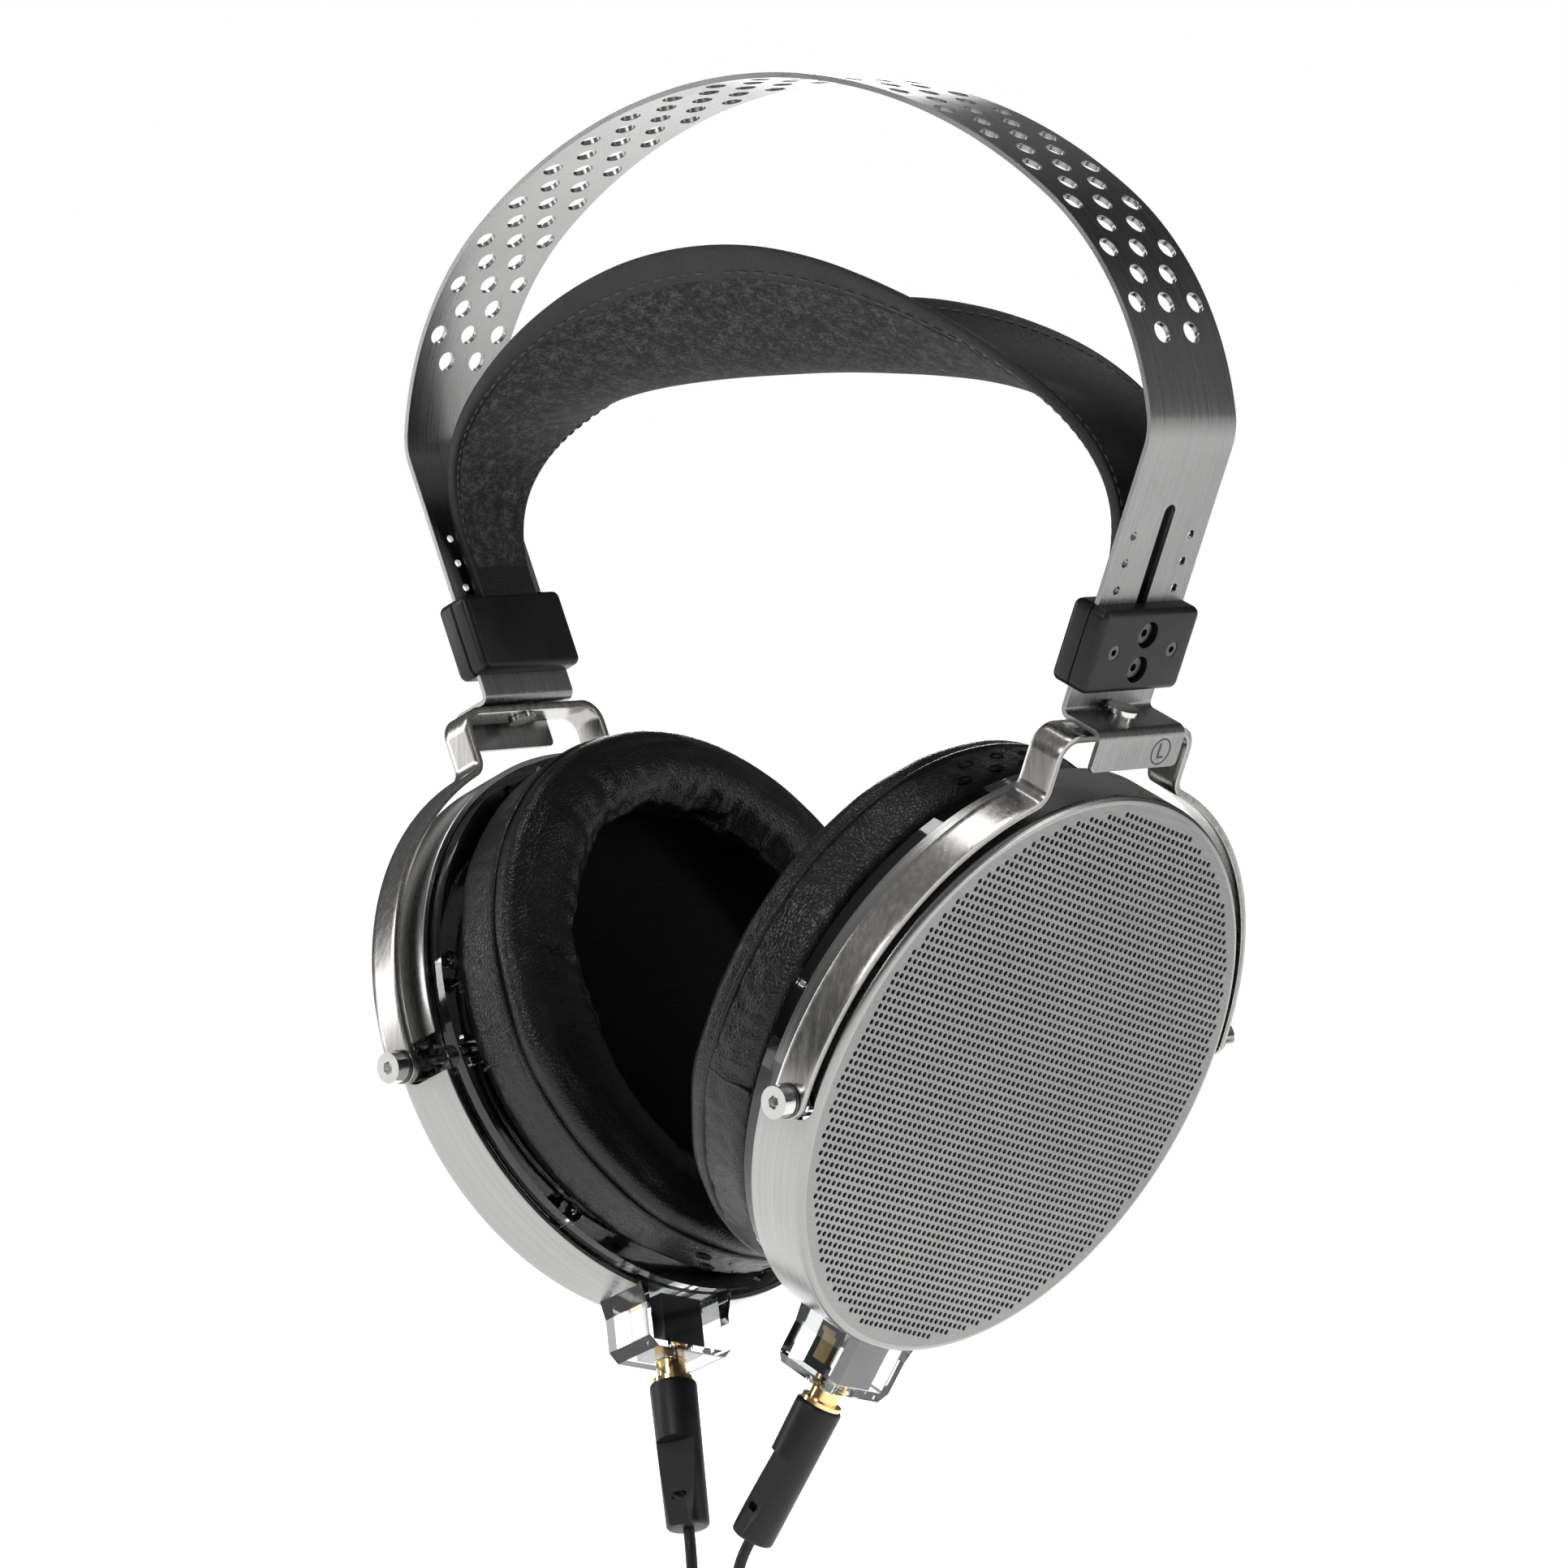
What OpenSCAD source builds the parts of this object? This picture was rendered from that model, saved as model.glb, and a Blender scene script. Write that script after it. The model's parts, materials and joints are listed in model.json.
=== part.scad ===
// Open-back over-ear headphones with a perforated spring-steel headband, a suspended
// leather strap and round steel cups hung in yokes.
// The wearer faces -Y, the left cup is at +X. The origin is the middle of the strap's
// underside, where it rests on the head. Millimetres.

/* [Headband] */
// Half the width of the arch at its widest
arch_half_w = 96; // [90:1:102]
// Rise of the arch from its widest level to its top
arch_rise = 72.3; // [66:0.1:80]
// Radius of the arch's shoulders
shoulder_r = 60; // [56:1:64]
// Width of the steel strip
strip_w = 24.4; // [22:0.2:28]
// Thickness of the steel strip
strip_t = 1; // [0.8:0.1:1.2]
// Lean of the straight lower sections towards the head, in degrees
lower_tilt = 23.3; // [20:0.1:26]
// Height of the bends above the lower sections, from the strap's underside
bend_z = -13; // [-16:1:-10]
// Radius of those bends
bend_r = 12; // [10:1:16]
// Diameter of the arch's holes
perf_d = 4; // [3:0.1:4.4]
// Distance from one row of holes to the next
perf_pitch = 5.85; // [5.4:0.05:6]
// Rows of holes on each side of the middle row
perf_rows = 19; // [15:2:19]

/* [Height adjustment] */
// Distance from one detent hole to the next
detent_pitch = 5.3; // [5:0.1:5.6]
// Steps that the slider blocks can go up
detent_steps = 4; // [3:1:4]
// Width of a slider block
block_w = 27.2; // [26:0.2:29]
// Height of a slider block
block_h = 16.2; // [15:0.2:17]
// Thickness of a slider block
block_t = 8.4; // [8:0.2:9]
// Distance from the bend to the middle of a slider block
block_s = 41.4; // [40.4:0.2:42]

/* [Strap] */
// Half the width of the strap at its middle
strap_half_w = 24; // [22:1:28]
// Half the width of the strap at its ends
strap_end_half_w = 7.5; // [6:0.5:9]
// Rise of the strap's edges above its middle
strap_saddle = 16.6; // [8:0.2:18]
// Extra rise of the front edge, which the rear edge loses
strap_lean = 4.6; // [0:0.2:6]
// Thickness of each of the strap's two layers
strap_t = 1.2; // [1:0.1:1.6]

/* [Yoke] */
// Distance from the bend down to the cups' pivot axis
pivot_drop = 125.9; // [124:0.1:128]
// Distance of the swivel axis outside the strip
axis_x = 3.9; // [3.7:0.1:4.1]
// Width of the yoke's strap
yoke_w = 7; // [6.6:0.2:7.6]
// Thickness of the yoke's strap
yoke_t = 1.4; // [1.2:0.1:1.6]

/* [Cups] */
// Outer radius of the steel can
can_r = 57.5; // [57:0.5:58]
// Depth of the steel can
can_depth = 13; // [12:0.5:13]
// Distance of the can's face outside the pivot axis
face_x = 4.8; // [4.6:0.1:5]
// Thickness of the can's wall
can_wall = 1; // [0.8:0.1:1.2]
// Thickness of the ear pad
pad_t = 20; // [18:0.5:20]
// Outer radius of the ear pad
pad_r = 54.5; // [53:0.5:55]
// Half the width of the pad's opening
pad_open_w = 33; // [30:1:35]
// Half the height of the pad's opening
pad_open_h = 38; // [34:1:40]
// Turn of the jack towards the front, in degrees
jack_turn = 16; // [12:1:18]

/* [Cable] */
// Diameter of a lead to one cup
lead_d = 2.2; // [2:0.1:2.4]
// Diameter of the main cord
cord_d = 3; // [2.8:0.1:3.2]
// Length of a plug's sleeve
sleeve_len = 29; // [26:1:30]

/* [Hidden] */

// Fineness of round faces
fine = 72;
bore_fn = 24;

// --- The strip's outline, on its middle line, in the XZ plane ---
strip_dir = [-sin(lower_tilt), -cos(lower_tilt)];
strip_out = [cos(lower_tilt), -sin(lower_tilt)];
bend_p = [arch_half_w, bend_z];
// The arch's widest level lies a little under the bend
arch_z = bend_z - 3.9;
shoulder_c = [arch_half_w - shoulder_r, arch_z];
top_r = (pow(shoulder_c[0], 2) + pow(arch_rise, 2) - pow(shoulder_r, 2)) / (2 * (arch_rise - shoulder_r));
top_c = [0, arch_z + arch_rise - top_r];
top_end = atan2(shoulder_c[0] - top_c[0], shoulder_c[1] - top_c[1]);
// The bend's arc touches the shoulder from inside and the straight section
bend_from = bend_p - bend_r * strip_out - shoulder_c;
bend_along = -(bend_from * strip_dir) - sqrt(pow(bend_from * strip_dir, 2)
    - bend_from * bend_from + pow(shoulder_r - bend_r, 2));
bend_c = shoulder_c + bend_from + bend_along * strip_dir;
shoulder_end = atan2(bend_c[0] - shoulder_c[0], bend_c[1] - shoulder_c[1]);
// Bracket at the strip's end, in the hang frame
fold_r = 1.5;
shelf_z = -54.8;
lip_x = 9.6;
lip_z = -62.1;
slot_w = 3;
slot_top = -14.2;
slot_end = -46.6;
detent_x = 8.2;
detent_s = 20.1;
detent_d = 1.6;
rivet_d = 4;

function polar(c, r, a) = c + r * [sin(a), cos(a)];
function arc_pts(c, r, a0, a1, n) = [for (i = [0:n]) polar(c, r, a0 + (a1 - a0) * i / n)];
// From the hang frame to the XZ plane
function hang(p) = bend_p + p[0] * strip_out - p[1] * strip_dir;
// Half of one side of the strip, offset by o from its middle line
function arch_side(o) = concat(
    arc_pts(top_c, top_r + o, 0, top_end, 12),
    arc_pts(shoulder_c, shoulder_r + o, top_end, shoulder_end, 14),
    arc_pts(bend_c, bend_r + o, shoulder_end, 90 + lower_tilt, 6)
);
function fold_pts(o) = [for (p = concat(
    [for (a = [90:-22.5:0]) [fold_r, shelf_z + fold_r] + (fold_r + o) * [-sin(a), -cos(a)]],
    [for (a = [0:22.5:90]) [lip_x - fold_r, shelf_z - fold_r] + (fold_r - o) * [sin(a), cos(a)]],
    [[lip_x - o, lip_z]]
)) hang(p)];
function strip_side(o) = concat(arch_side(o), fold_pts(-o));
function flip(pts) = [for (i = [len(pts) - 1:-1:0]) pts[i]];
function mirror_x(pts) = [for (p = pts) [-p[0], p[1]]];

// Place along the arch, by length from its top, on the middle line
arch_top_len = top_r * top_end * PI / 180;
function arch_angle(s) = s < arch_top_len
    ? s / top_r * 180 / PI
    : top_end + (s - arch_top_len) / shoulder_r * 180 / PI;
function arch_point(s) = s < arch_top_len
    ? polar(top_c, top_r, arch_angle(s))
    : polar(shoulder_c, shoulder_r, arch_angle(s));

// --- Cup frame: x outward from the pivot axis, z up along the hanging axis ---
rear_x = face_x - can_depth;
frame_r = 56;
frame_in_r = 49.5;
frame_x = rear_x - 3.4;
plate_x = frame_x - 1.6;
arm_r = 60;
screw_d = 3;
boss_r = 3.3;
notch_r = 3.8;
jack_x = -3.1;
jack_bottom = 68.6;
block_half = 10.5;
block_front = 2.6;
block_back = -9.6;
plug_top = 73;
plug_end = plug_top + sleeve_len;
pin_d = 3.5;
frame_screw_angles = [32, 92, 152, 208, 268, 328];
frame_screw_r = 53.4;

// --- Strap ---
// The strap stops short of its block, which moves out and up past it
strap_ends = [-block_s + block_h / 2 + 3.9, -2.6];
strap_pull_up = 38;
strap_pull_in = 50;
strap_from = hang([strap_ends[1], strap_ends[0]]);
strap_mid_z = strap_t;
function bez(a, b, c, d, t) = pow(1 - t, 3) * a + 3 * pow(1 - t, 2) * t * b
    + 3 * (1 - t) * t * t * c + t * t * t * d;
// Middle line of the strap: u runs from -1 at the right end to 1 at the left
function strap_mid(u) = let (t = 1 - abs(u), q = bez(strap_from, strap_from - strap_pull_up * strip_dir,
    [strap_pull_in, strap_mid_z], [0, strap_mid_z], t)) [sign(u) * q[0], q[1]];
function strap_normal(u) = let (d = strap_mid(min(u + 0.01, 1)) - strap_mid(max(u - 0.01, -1)))
    [-d[1], d[0]] / norm(d);
function strap_half(u) = strap_end_half_w
    + (strap_half_w - strap_end_half_w) * pow(cos(min(90 * abs(u), 89.9)), 1.4);
function strap_point(u, v, o) = let (w = strap_half(u), n = strap_normal(u),
    side = v * w / strap_half_w,
    rise = (strap_saddle * side * side - strap_lean * side) * pow(cos(90 * u), 2) + o,
    m = strap_mid(u)) [m[0] + n[0] * rise, v * w, m[1] + n[1] * rise];

// --- Cable route, left side; the right side mirrors it ---
lead_upper_route = [[8.1, -28.1, -219.1], [7, -28.9, -221.8], [6.2, -29.5, -224.6], [5.7, -29.8, -228],
    [5.3, -30, -233], [4.9, -30, -240], [4.4, -30, -248], [3.8, -30, -256]];
lead_lower_route = [[3.8, -30, -256.1], [3.2, -30, -264], [2.6, -30, -272], [2, -30, -280],
    [1.7, -30, -286], [1.6, -30, -290]];
splitter_top = -290.1;
splitter_len = 14;
coil_c = [-18, -30, -325];
coil_r = 18;
coil_bundle_r = 6.5;
neck_route = [[0, -30, -304.2], [0, -30, -309.6]];
tail_route = [[-36, -30, -340.4], [-36, -30, -344], [-36, -30, -347]];
end_sleeve_len = 22;

// --- Placing ---
module on_side(s) {
    if (s > 0) children();
    else mirror([1, 0, 0]) children();
}
module hang_frame() {
    translate([bend_p[0], 0, bend_p[1]]) rotate([0, lower_tilt, 0]) children();
}
module cup_frame() {
    hang_frame() translate([axis_x, 0, -pivot_drop]) children();
}
module jack_frame() {
    cup_frame() rotate([-jack_turn, 0, 0]) children();
}
// Turns a shape drawn about +Z so that its axis points outward along +X
module face_out() {
    rotate([0, 90, 0]) children();
}
module each_pivot() {
    for (s = [-1, 1]) scale_y(s) children();
}
module scale_y(s) {
    if (s > 0) children();
    else mirror([0, 1, 0]) children();
}
// A cylinder along +Y from y0 to y1
module y_pin(d, y0, y1, fn = bore_fn) {
    translate([0, y0, 0]) rotate([-90, 0, 0]) cylinder(d = d, h = y1 - y0, $fn = fn);
}
module x_pin(d, x0, x1, fn = bore_fn) {
    translate([x0, 0, 0]) rotate([0, 90, 0]) cylinder(d = d, h = x1 - x0, $fn = fn);
}
module rounded_rect(w, h, r) {
    hull() for (x = [-1, 1], y = [-1, 1]) translate([x * (w / 2 - r), y * (h / 2 - r)]) circle(r = r, $fn = 32);
}
module tube(route, d, sides = 8) {
    n = len(route);
    function dir(i) = let (v = route[min(i + 1, n - 1)] - route[max(i - 1, 0)]) v / norm(v);
    function side_of(i) = let (v = cross(dir(i), [0, 1, 0])) v / norm(v);
    function up_of(i) = cross(side_of(i), dir(i));
    pts = [for (i = [0:n - 1], k = [0:sides - 1])
        route[i] + d / 2 * (cos(360 * k / sides) * side_of(i) + sin(360 * k / sides) * up_of(i))];
    walls = [for (i = [0:n - 2], k = [0:sides - 1]) let (k2 = (k + 1) % sides)
        [i * sides + k, i * sides + k2, (i + 1) * sides + k2, (i + 1) * sides + k]];
    polyhedron(points = pts, faces = concat(walls,
        [[for (k = [sides - 1:-1:0]) k]], [[for (k = [0:sides - 1]) (n - 1) * sides + k]]));
}

// --- Headband ---
module arch_holes() {
    for (k = [-perf_rows:perf_rows]) {
        s = abs(k) * perf_pitch;
        p = arch_point(s);
        wide = (k % 2 == 0) ? [-8.3, 0, 8.3] : [-4.15, 4.15];
        for (y = wide) translate([sign(k) * p[0], y, p[1]]) rotate([0, sign(k) * arch_angle(s), 0])
            cylinder(d = perf_d, h = 4 * strip_t, center = true, $fn = bore_fn);
    }
}
module adjust_holes() {
    hang_frame() {
        for (i = [0:detent_steps], y = [-detent_x, detent_x])
            translate([0, y, -detent_s - i * detent_pitch]) x_pin(detent_d, -2, 2);
        for (z = [slot_top - slot_w / 2, slot_end + slot_w / 2]) translate([0, 0, z]) x_pin(slot_w, -2, 2);
        translate([-2, -slot_w / 2, slot_end + slot_w / 2])
            cube([4, slot_w, slot_top - slot_end - slot_w]);
        translate([axis_x, 0, shelf_z - 2]) cylinder(d = rivet_d + 0.1, h = 4, $fn = bore_fn);
    }
}
module headband_spring() {
    outline = concat(strip_side(strip_t / 2), flip(strip_side(-strip_t / 2)));
    color("silver") difference() {
        translate([0, strip_w / 2, 0]) rotate([90, 0, 0]) linear_extrude(strip_w) union() {
            polygon(outline);
            polygon(mirror_x(outline));
        }
        arch_holes();
        for (s = [-1, 1]) on_side(s) adjust_holes();
    }
}

// --- Strap layers ---
module strap_layer(o0, o1, u_end, n_u, n_v) {
    us = [for (i = [0:n_u]) u_end * (2 * i / n_u - 1)];
    vs = [for (j = [0:n_v]) 2 * j / n_v - 1];
    row = n_v + 1;
    half = (n_u + 1) * row;
    pts = concat([for (u = us, v = vs) strap_point(u, v, o0)], [for (u = us, v = vs) strap_point(u, v, o1)]);
    low = [for (i = [0:n_u - 1], j = [0:n_v - 1]) let (a = i * row + j) [a, a + 1, a + row + 1, a + row]];
    high = [for (f = low) [half + f[3], half + f[2], half + f[1], half + f[0]]];
    long_sides = [for (i = [0:n_u - 1]) let (a = i * row) each [
        [a, a + row, half + a + row, half + a],
        [half + a + n_v, half + a + row + n_v, a + row + n_v, a + n_v]]];
    ends = [for (j = [0:n_v - 1]) let (b = n_u * row + j) each [
        [j + 1, j, half + j, half + j + 1],
        [b, b + 1, half + b + 1, half + b]]];
    polyhedron(points = pts, faces = concat(low, high, long_sides, ends));
}
module strap_outer() {
    color("black") strap_layer(0.15, strap_t, 1, 36, 6);
}
module strap_lining() {
    color("dimgray") strap_layer(-strap_t, -0.15, 0.66, 24, 6);
}

// --- Slider blocks ---
block_edge = 1.6;
band_gap = 0.2;
clamp_s = [38.1, 44.9];
plunger_s = 41.3;
module block_half_shell(x0, x1) {
    hang_frame() difference() {
        translate([x0, 0, -block_s]) rotate([0, 90, 0]) linear_extrude(x1 - x0)
            rounded_rect(block_h, block_w, block_edge);
        for (s = clamp_s) translate([0, 0, -s]) x_pin(2.2, -10, 10);
        children();
    }
}
module slider_outer_half() {
    color([0.12, 0.12, 0.12]) block_half_shell(strip_t / 2 + band_gap, block_t / 2) {
        for (s = clamp_s) translate([0, 0, -s]) x_pin(5.2, block_t / 2 - 2.6, block_t);
        for (y = [-detent_x, detent_x]) translate([0, y, -plunger_s]) x_pin(3, 0, block_t);
    }
}
module slider_inner_half() {
    color([0.12, 0.12, 0.12]) block_half_shell(-block_t / 2, -strip_t / 2 - band_gap) {
        translate([0, 0, -block_s + block_h / 2]) translate([strap_ends[1] - 1.6, -strap_end_half_w - 0.4, -2])
            cube([3.2, 2 * strap_end_half_w + 0.8, 4]);
    }
}
module slider_clamp_screws() {
    color("dimgray") hang_frame() for (s = clamp_s) translate([0, 0, -s]) difference() {
        union() {
            x_pin(2.1, -block_t / 2 + 1, block_t / 2 - 2.5);
            x_pin(4, block_t / 2 - 2.58, block_t / 2 - 1);
        }
        x_pin(1.7, block_t / 2 - 1.9, block_t, 6);
    }
}
module detent_plungers() {
    color("dimgray") hang_frame() for (y = [-detent_x, detent_x]) translate([0, y, -plunger_s]) difference() {
        x_pin(2.9, strip_t / 2 + band_gap, block_t / 2 - 0.1);
        x_pin(1.4, block_t / 2 - 1.4, block_t, 6);
    }
}

// --- Swivel and yoke ---
washer_t = 0.5;
yoke_top = shelf_z - strip_t / 2 - washer_t - 0.05;
module swivel_rivet() {
    color("silver") hang_frame() translate([axis_x, 0, 0]) union() {
        translate([0, 0, shelf_z + strip_t / 2 + 1]) cylinder(d = 6, h = 0.9, $fn = bore_fn);
        translate([0, 0, shelf_z + strip_t / 2]) cylinder(d = 4.8, h = 1.01, $fn = bore_fn);
        translate([0, 0, yoke_top - yoke_t - 0.1]) cylinder(d = rivet_d, h = 4.2, $fn = bore_fn);
        translate([0, 0, yoke_top - yoke_t - 1]) cylinder(d = 5.6, h = 0.9, $fn = bore_fn);
    }
}
module swivel_washer() {
    color("black") hang_frame() translate([axis_x, 0, yoke_top + 0.03]) difference() {
        cylinder(d = 7, h = washer_t - 0.02, $fn = bore_fn);
        translate([0, 0, -1]) cylinder(d = rivet_d + 0.1, h = 3, $fn = bore_fn);
    }
}
// Outline of the yoke's strap in the cup's plane: flat top, square shoulders, round arms
drop_y = 18.5;
shoulder_fold = 4;
foot_fold = 3.2;
yoke_plate_z = yoke_top + pivot_drop - yoke_t / 2;
// The foot's arc touches the drop and the arm from outside
foot_c = [drop_y + foot_fold, sqrt(pow(arm_r + foot_fold, 2) - pow(drop_y + foot_fold, 2))];
foot_end = atan2(foot_c[0], foot_c[1]);
function yoke_side(o) = concat(
    [[0, yoke_plate_z + o]],
    [for (a = [0:22.5:90]) [drop_y - shoulder_fold, yoke_plate_z - shoulder_fold]
        + (shoulder_fold + o) * [sin(a), cos(a)]],
    [for (i = [0:4]) polar(foot_c, foot_fold - o, -90 - (90 - foot_end) * i / 4)],
    [for (i = [1:18]) polar([0, 0], arm_r + o, foot_end + (90 - foot_end) * i / 18)]
);
module yoke() {
    half = concat(yoke_side(yoke_t / 2), flip(yoke_side(-yoke_t / 2)));
    color("silver") cup_frame() difference() {
        union() {
            translate([-yoke_w / 2, 0, 0]) rotate([90, 0, 90]) linear_extrude(yoke_w) union() {
                polygon(half);
                polygon(mirror_x(half));
            }
            each_pivot() y_pin(yoke_w, arm_r - yoke_t / 2, arm_r + yoke_t / 2, 32);
        }
        each_pivot() y_pin(screw_d + 0.15, arm_r - 5, arm_r + 5);
        translate([0, 0, yoke_plate_z - 4]) cylinder(d = rivet_d + 0.1, h = 8, $fn = bore_fn);
    }
}
spacer_y = [58.1, arm_r - yoke_t / 2 - 0.1];
module pivot_screws() {
    head_y = arm_r + yoke_t / 2 + 0.65;
    color("silver") cup_frame() each_pivot() difference() {
        union() {
            y_pin(screw_d, 51.5, head_y + 0.1);
            y_pin(6, head_y, head_y + 2.8);
        }
        y_pin(2.6, head_y + 1, head_y + 4, 6);
    }
}
module pivot_spacers() {
    color([0.2, 0.2, 0.2]) cup_frame() each_pivot() {
        difference() {
            y_pin(5.6, spacer_y[0], spacer_y[1]);
            y_pin(screw_d + 0.1, 50, 70);
        }
        difference() {
            y_pin(6.4, arm_r + yoke_t / 2 + 0.1, arm_r + yoke_t / 2 + 0.6);
            y_pin(screw_d + 0.1, 50, 70);
        }
    }
}

// --- Cup ---
module ring_x(r_out, r_in, x0, x1) {
    translate([x0, 0, 0]) face_out() difference() {
        cylinder(r = r_out, h = x1 - x0, $fn = fine);
        translate([0, 0, -1]) cylinder(r = r_in, h = x1 - x0 + 2, $fn = fine);
    }
}
module pivot_notch(r, x_end) {
    each_pivot() {
        y_pin(2 * r, 48, 62, 32);
        translate([x_end, 48, -r]) cube([-x_end, 14, 2 * r]);
    }
}
edge_r = 1.2;
module cup_can() {
    profile = concat(
        [[0, face_x], [can_r - edge_r, face_x]],
        [for (a = [22.5:22.5:67.5]) [can_r - edge_r, face_x - edge_r] + edge_r * [sin(a), cos(a)]],
        [[can_r, face_x - edge_r], [can_r, rear_x], [can_r - can_wall, rear_x],
         [can_r - can_wall, face_x - can_wall], [0, face_x - can_wall]]
    );
    color("silver") difference() {
        cup_frame() face_out() rotate_extrude($fn = fine) polygon(profile);
        cup_frame() pivot_notch(notch_r, rear_x - 1);
        jack_frame() translate([rear_x - 1, -block_half - 0.8, -62])
            cube([block_front + 0.3 - rear_x + 1, 2 * block_half + 1.6, 14]);
    }
}
module damping_mesh() {
    color([0.08, 0.08, 0.08]) cup_frame() ring_x(49, 0.01, face_x - can_wall - 0.35, face_x - can_wall - 0.05);
}
driver_x = [-5.6, 1.4];
module driver_frame() {
    color([0.15, 0.15, 0.15]) cup_frame() difference() {
        ring_x(48.8, 42, driver_x[0], driver_x[1]);
        ring_x(46, 1, -2.3, -1.9);
    }
}
module driver_magnets() {
    color("gray") cup_frame() for (y = [-32:8:32], x = [driver_x[0] + 0.4, driver_x[1] - 2.9])
        translate([x, y - 1.5, -sqrt(39 * 39 - y * y)]) cube([2.5, 3, 2 * sqrt(39 * 39 - y * y)]);
}
module driver_diaphragm() {
    color("gold") cup_frame() ring_x(45.6, 0.01, -2.2, -2);
}
module jack_block() {
    top = 54;
    flare = 1.6;
    outer = [[-block_half - flare, -top], [-block_half, -top - 6], [-block_half, -jack_bottom + 2],
        [-block_half + 2, -jack_bottom], [block_half - 2, -jack_bottom], [block_half, -jack_bottom + 2],
        [block_half, -top - 6], [block_half + flare, -top]];
    wall = 1.6;
    inner = [[-block_half + wall, -top + 1], [-block_half + wall, -jack_bottom + wall],
        [block_half - wall, -jack_bottom + wall], [block_half - wall, -top + 1]];
    difference() {
        translate([block_back, 0, 0]) rotate([90, 0, 90]) linear_extrude(block_front - block_back) polygon(outer);
        translate([block_back + wall, 0, 0]) rotate([90, 0, 90])
            linear_extrude(block_front - block_back - 2 * wall) polygon(inner);
        translate([jack_x, 0, -jack_bottom - 1]) cylinder(d = 6.2, h = 6, $fn = bore_fn);
    }
}
module clear_frame() {
    color([0.85, 0.88, 0.9, 0.35]) difference() {
        union() {
            cup_frame() ring_x(frame_r, frame_in_r, frame_x, rear_x - 0.05);
            cup_frame() ring_x(can_r - can_wall - 0.2, frame_in_r, rear_x - 0.06, -1);
            cup_frame() each_pivot() y_pin(2 * boss_r, 50.5, 58);
            jack_frame() jack_block();
        }
        cup_frame() each_pivot() y_pin(screw_d + 0.1, 49, 60);
        for (a = frame_screw_angles) jack_frame() rotate([a, 0, 0]) translate([0, 0, -frame_screw_r]) {
            x_pin(1.9, frame_x - 1, -2);
            x_pin(3.6, frame_x - 1, frame_x + 1.6);
        }
    }
}
module frame_screws() {
    color("silver") for (a = frame_screw_angles) jack_frame() rotate([a, 0, 0])
        translate([0, 0, -frame_screw_r]) difference() {
            union() {
                x_pin(3.4, frame_x + 0.2, frame_x + 1.55);
                x_pin(1.8, frame_x + 1.5, -3);
            }
            translate([frame_x, -1, -0.25]) cube([0.8, 2, 0.5]);
            translate([frame_x, -0.25, -1]) cube([0.8, 0.5, 2]);
        }
}
module jack_socket() {
    color("black") jack_frame() difference() {
        translate([jack_x - 4, -5, -jack_bottom + 1.7]) cube([8, 10, 10]);
        translate([jack_x, 0, -jack_bottom]) cylinder(d = pin_d + 0.2, h = 13, $fn = bore_fn);
    }
}
module jack_contacts() {
    color("gold") jack_frame() for (s = [-1, 1]) translate([jack_x, s * 6.1, -jack_bottom + 4]) {
        translate([-1.6, -0.5, 0]) cube([3.2, 1, 7]);
        translate([-1.6, s > 0 ? -0.5 : -1.5, 6]) cube([3.2, 2, 1]);
    }
}
module pad_plate() {
    color([0.1, 0.1, 0.1]) cup_frame() ring_x(51.2, 43.8, plate_x, frame_x - 0.05);
}
module dust_cloth() {
    color([0.05, 0.05, 0.05]) cup_frame() ring_x(43.7, 0.01, plate_x + 0.2, plate_x + 0.7);
}
module ear_pad() {
    back = plate_x - 0.05;
    front = plate_x - pad_t;
    profile = [[0, back], [50, back], [53.4, back - 2], [pad_r, back - 6], [pad_r, back - 12],
        [53.6, back - 15.4], [51, back - 18.2], [46.5, front], [38, front + 0.8], [0, front + 1.6]];
    oval = [for (a = [0:7.5:352.5]) [pad_open_h * cos(a), pad_open_w * sin(a)]];
    color([0.1, 0.1, 0.1]) cup_frame() difference() {
        face_out() rotate_extrude($fn = fine) polygon(profile);
        translate([front - 1, 0, 0]) face_out() linear_extrude(pad_t + 2) polygon(oval);
    }
}

// --- Plugs and cable ---
module plug_pin() {
    color("gold") jack_frame() translate([jack_x, 0, 0]) union() {
        translate([0, 0, -jack_bottom + 0.5]) cylinder(d = pin_d, h = 11, $fn = bore_fn);
        translate([0, 0, -plug_top]) cylinder(d = 5.8, h = plug_top - jack_bottom + 0.6, $fn = bore_fn);
        translate([0, 0, -plug_top]) cylinder(d = 8, h = 0.8, $fn = bore_fn);
    }
}
module sleeve_body(len, d0, d1) {
    difference() {
        translate([0, 0, -len]) cylinder(d1 = d1, d2 = d0, h = len, $fn = bore_fn);
        rotate([0, 0, -jack_turn]) translate([-3, -d0 / 2 - 1.2, -len - 1]) rotate([-3.4, 0, 0])
            translate([-4, -1.6, 0]) cube([14, 2.6, len * 0.62]);
        translate([0, 0, -len + 5]) rotate([90, 0, 0]) cylinder(d = 1.4, h = 6, $fn = bore_fn);
    }
}
module plug_sleeve() {
    color([0.1, 0.1, 0.1]) jack_frame() translate([jack_x, 0, -plug_top]) sleeve_body(sleeve_len, 9.2, 8.4);
}
module lead_upper() {
    color("black") tube(lead_upper_route, lead_d);
}
module lead_lower() {
    color("black") tube(lead_lower_route, lead_d);
}
module cord_coil() {
    color("black") translate(coil_c) rotate([90, 0, 0]) rotate_extrude($fn = 48)
        translate([coil_r, 0]) circle(r = coil_bundle_r, $fn = 20);
}
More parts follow.
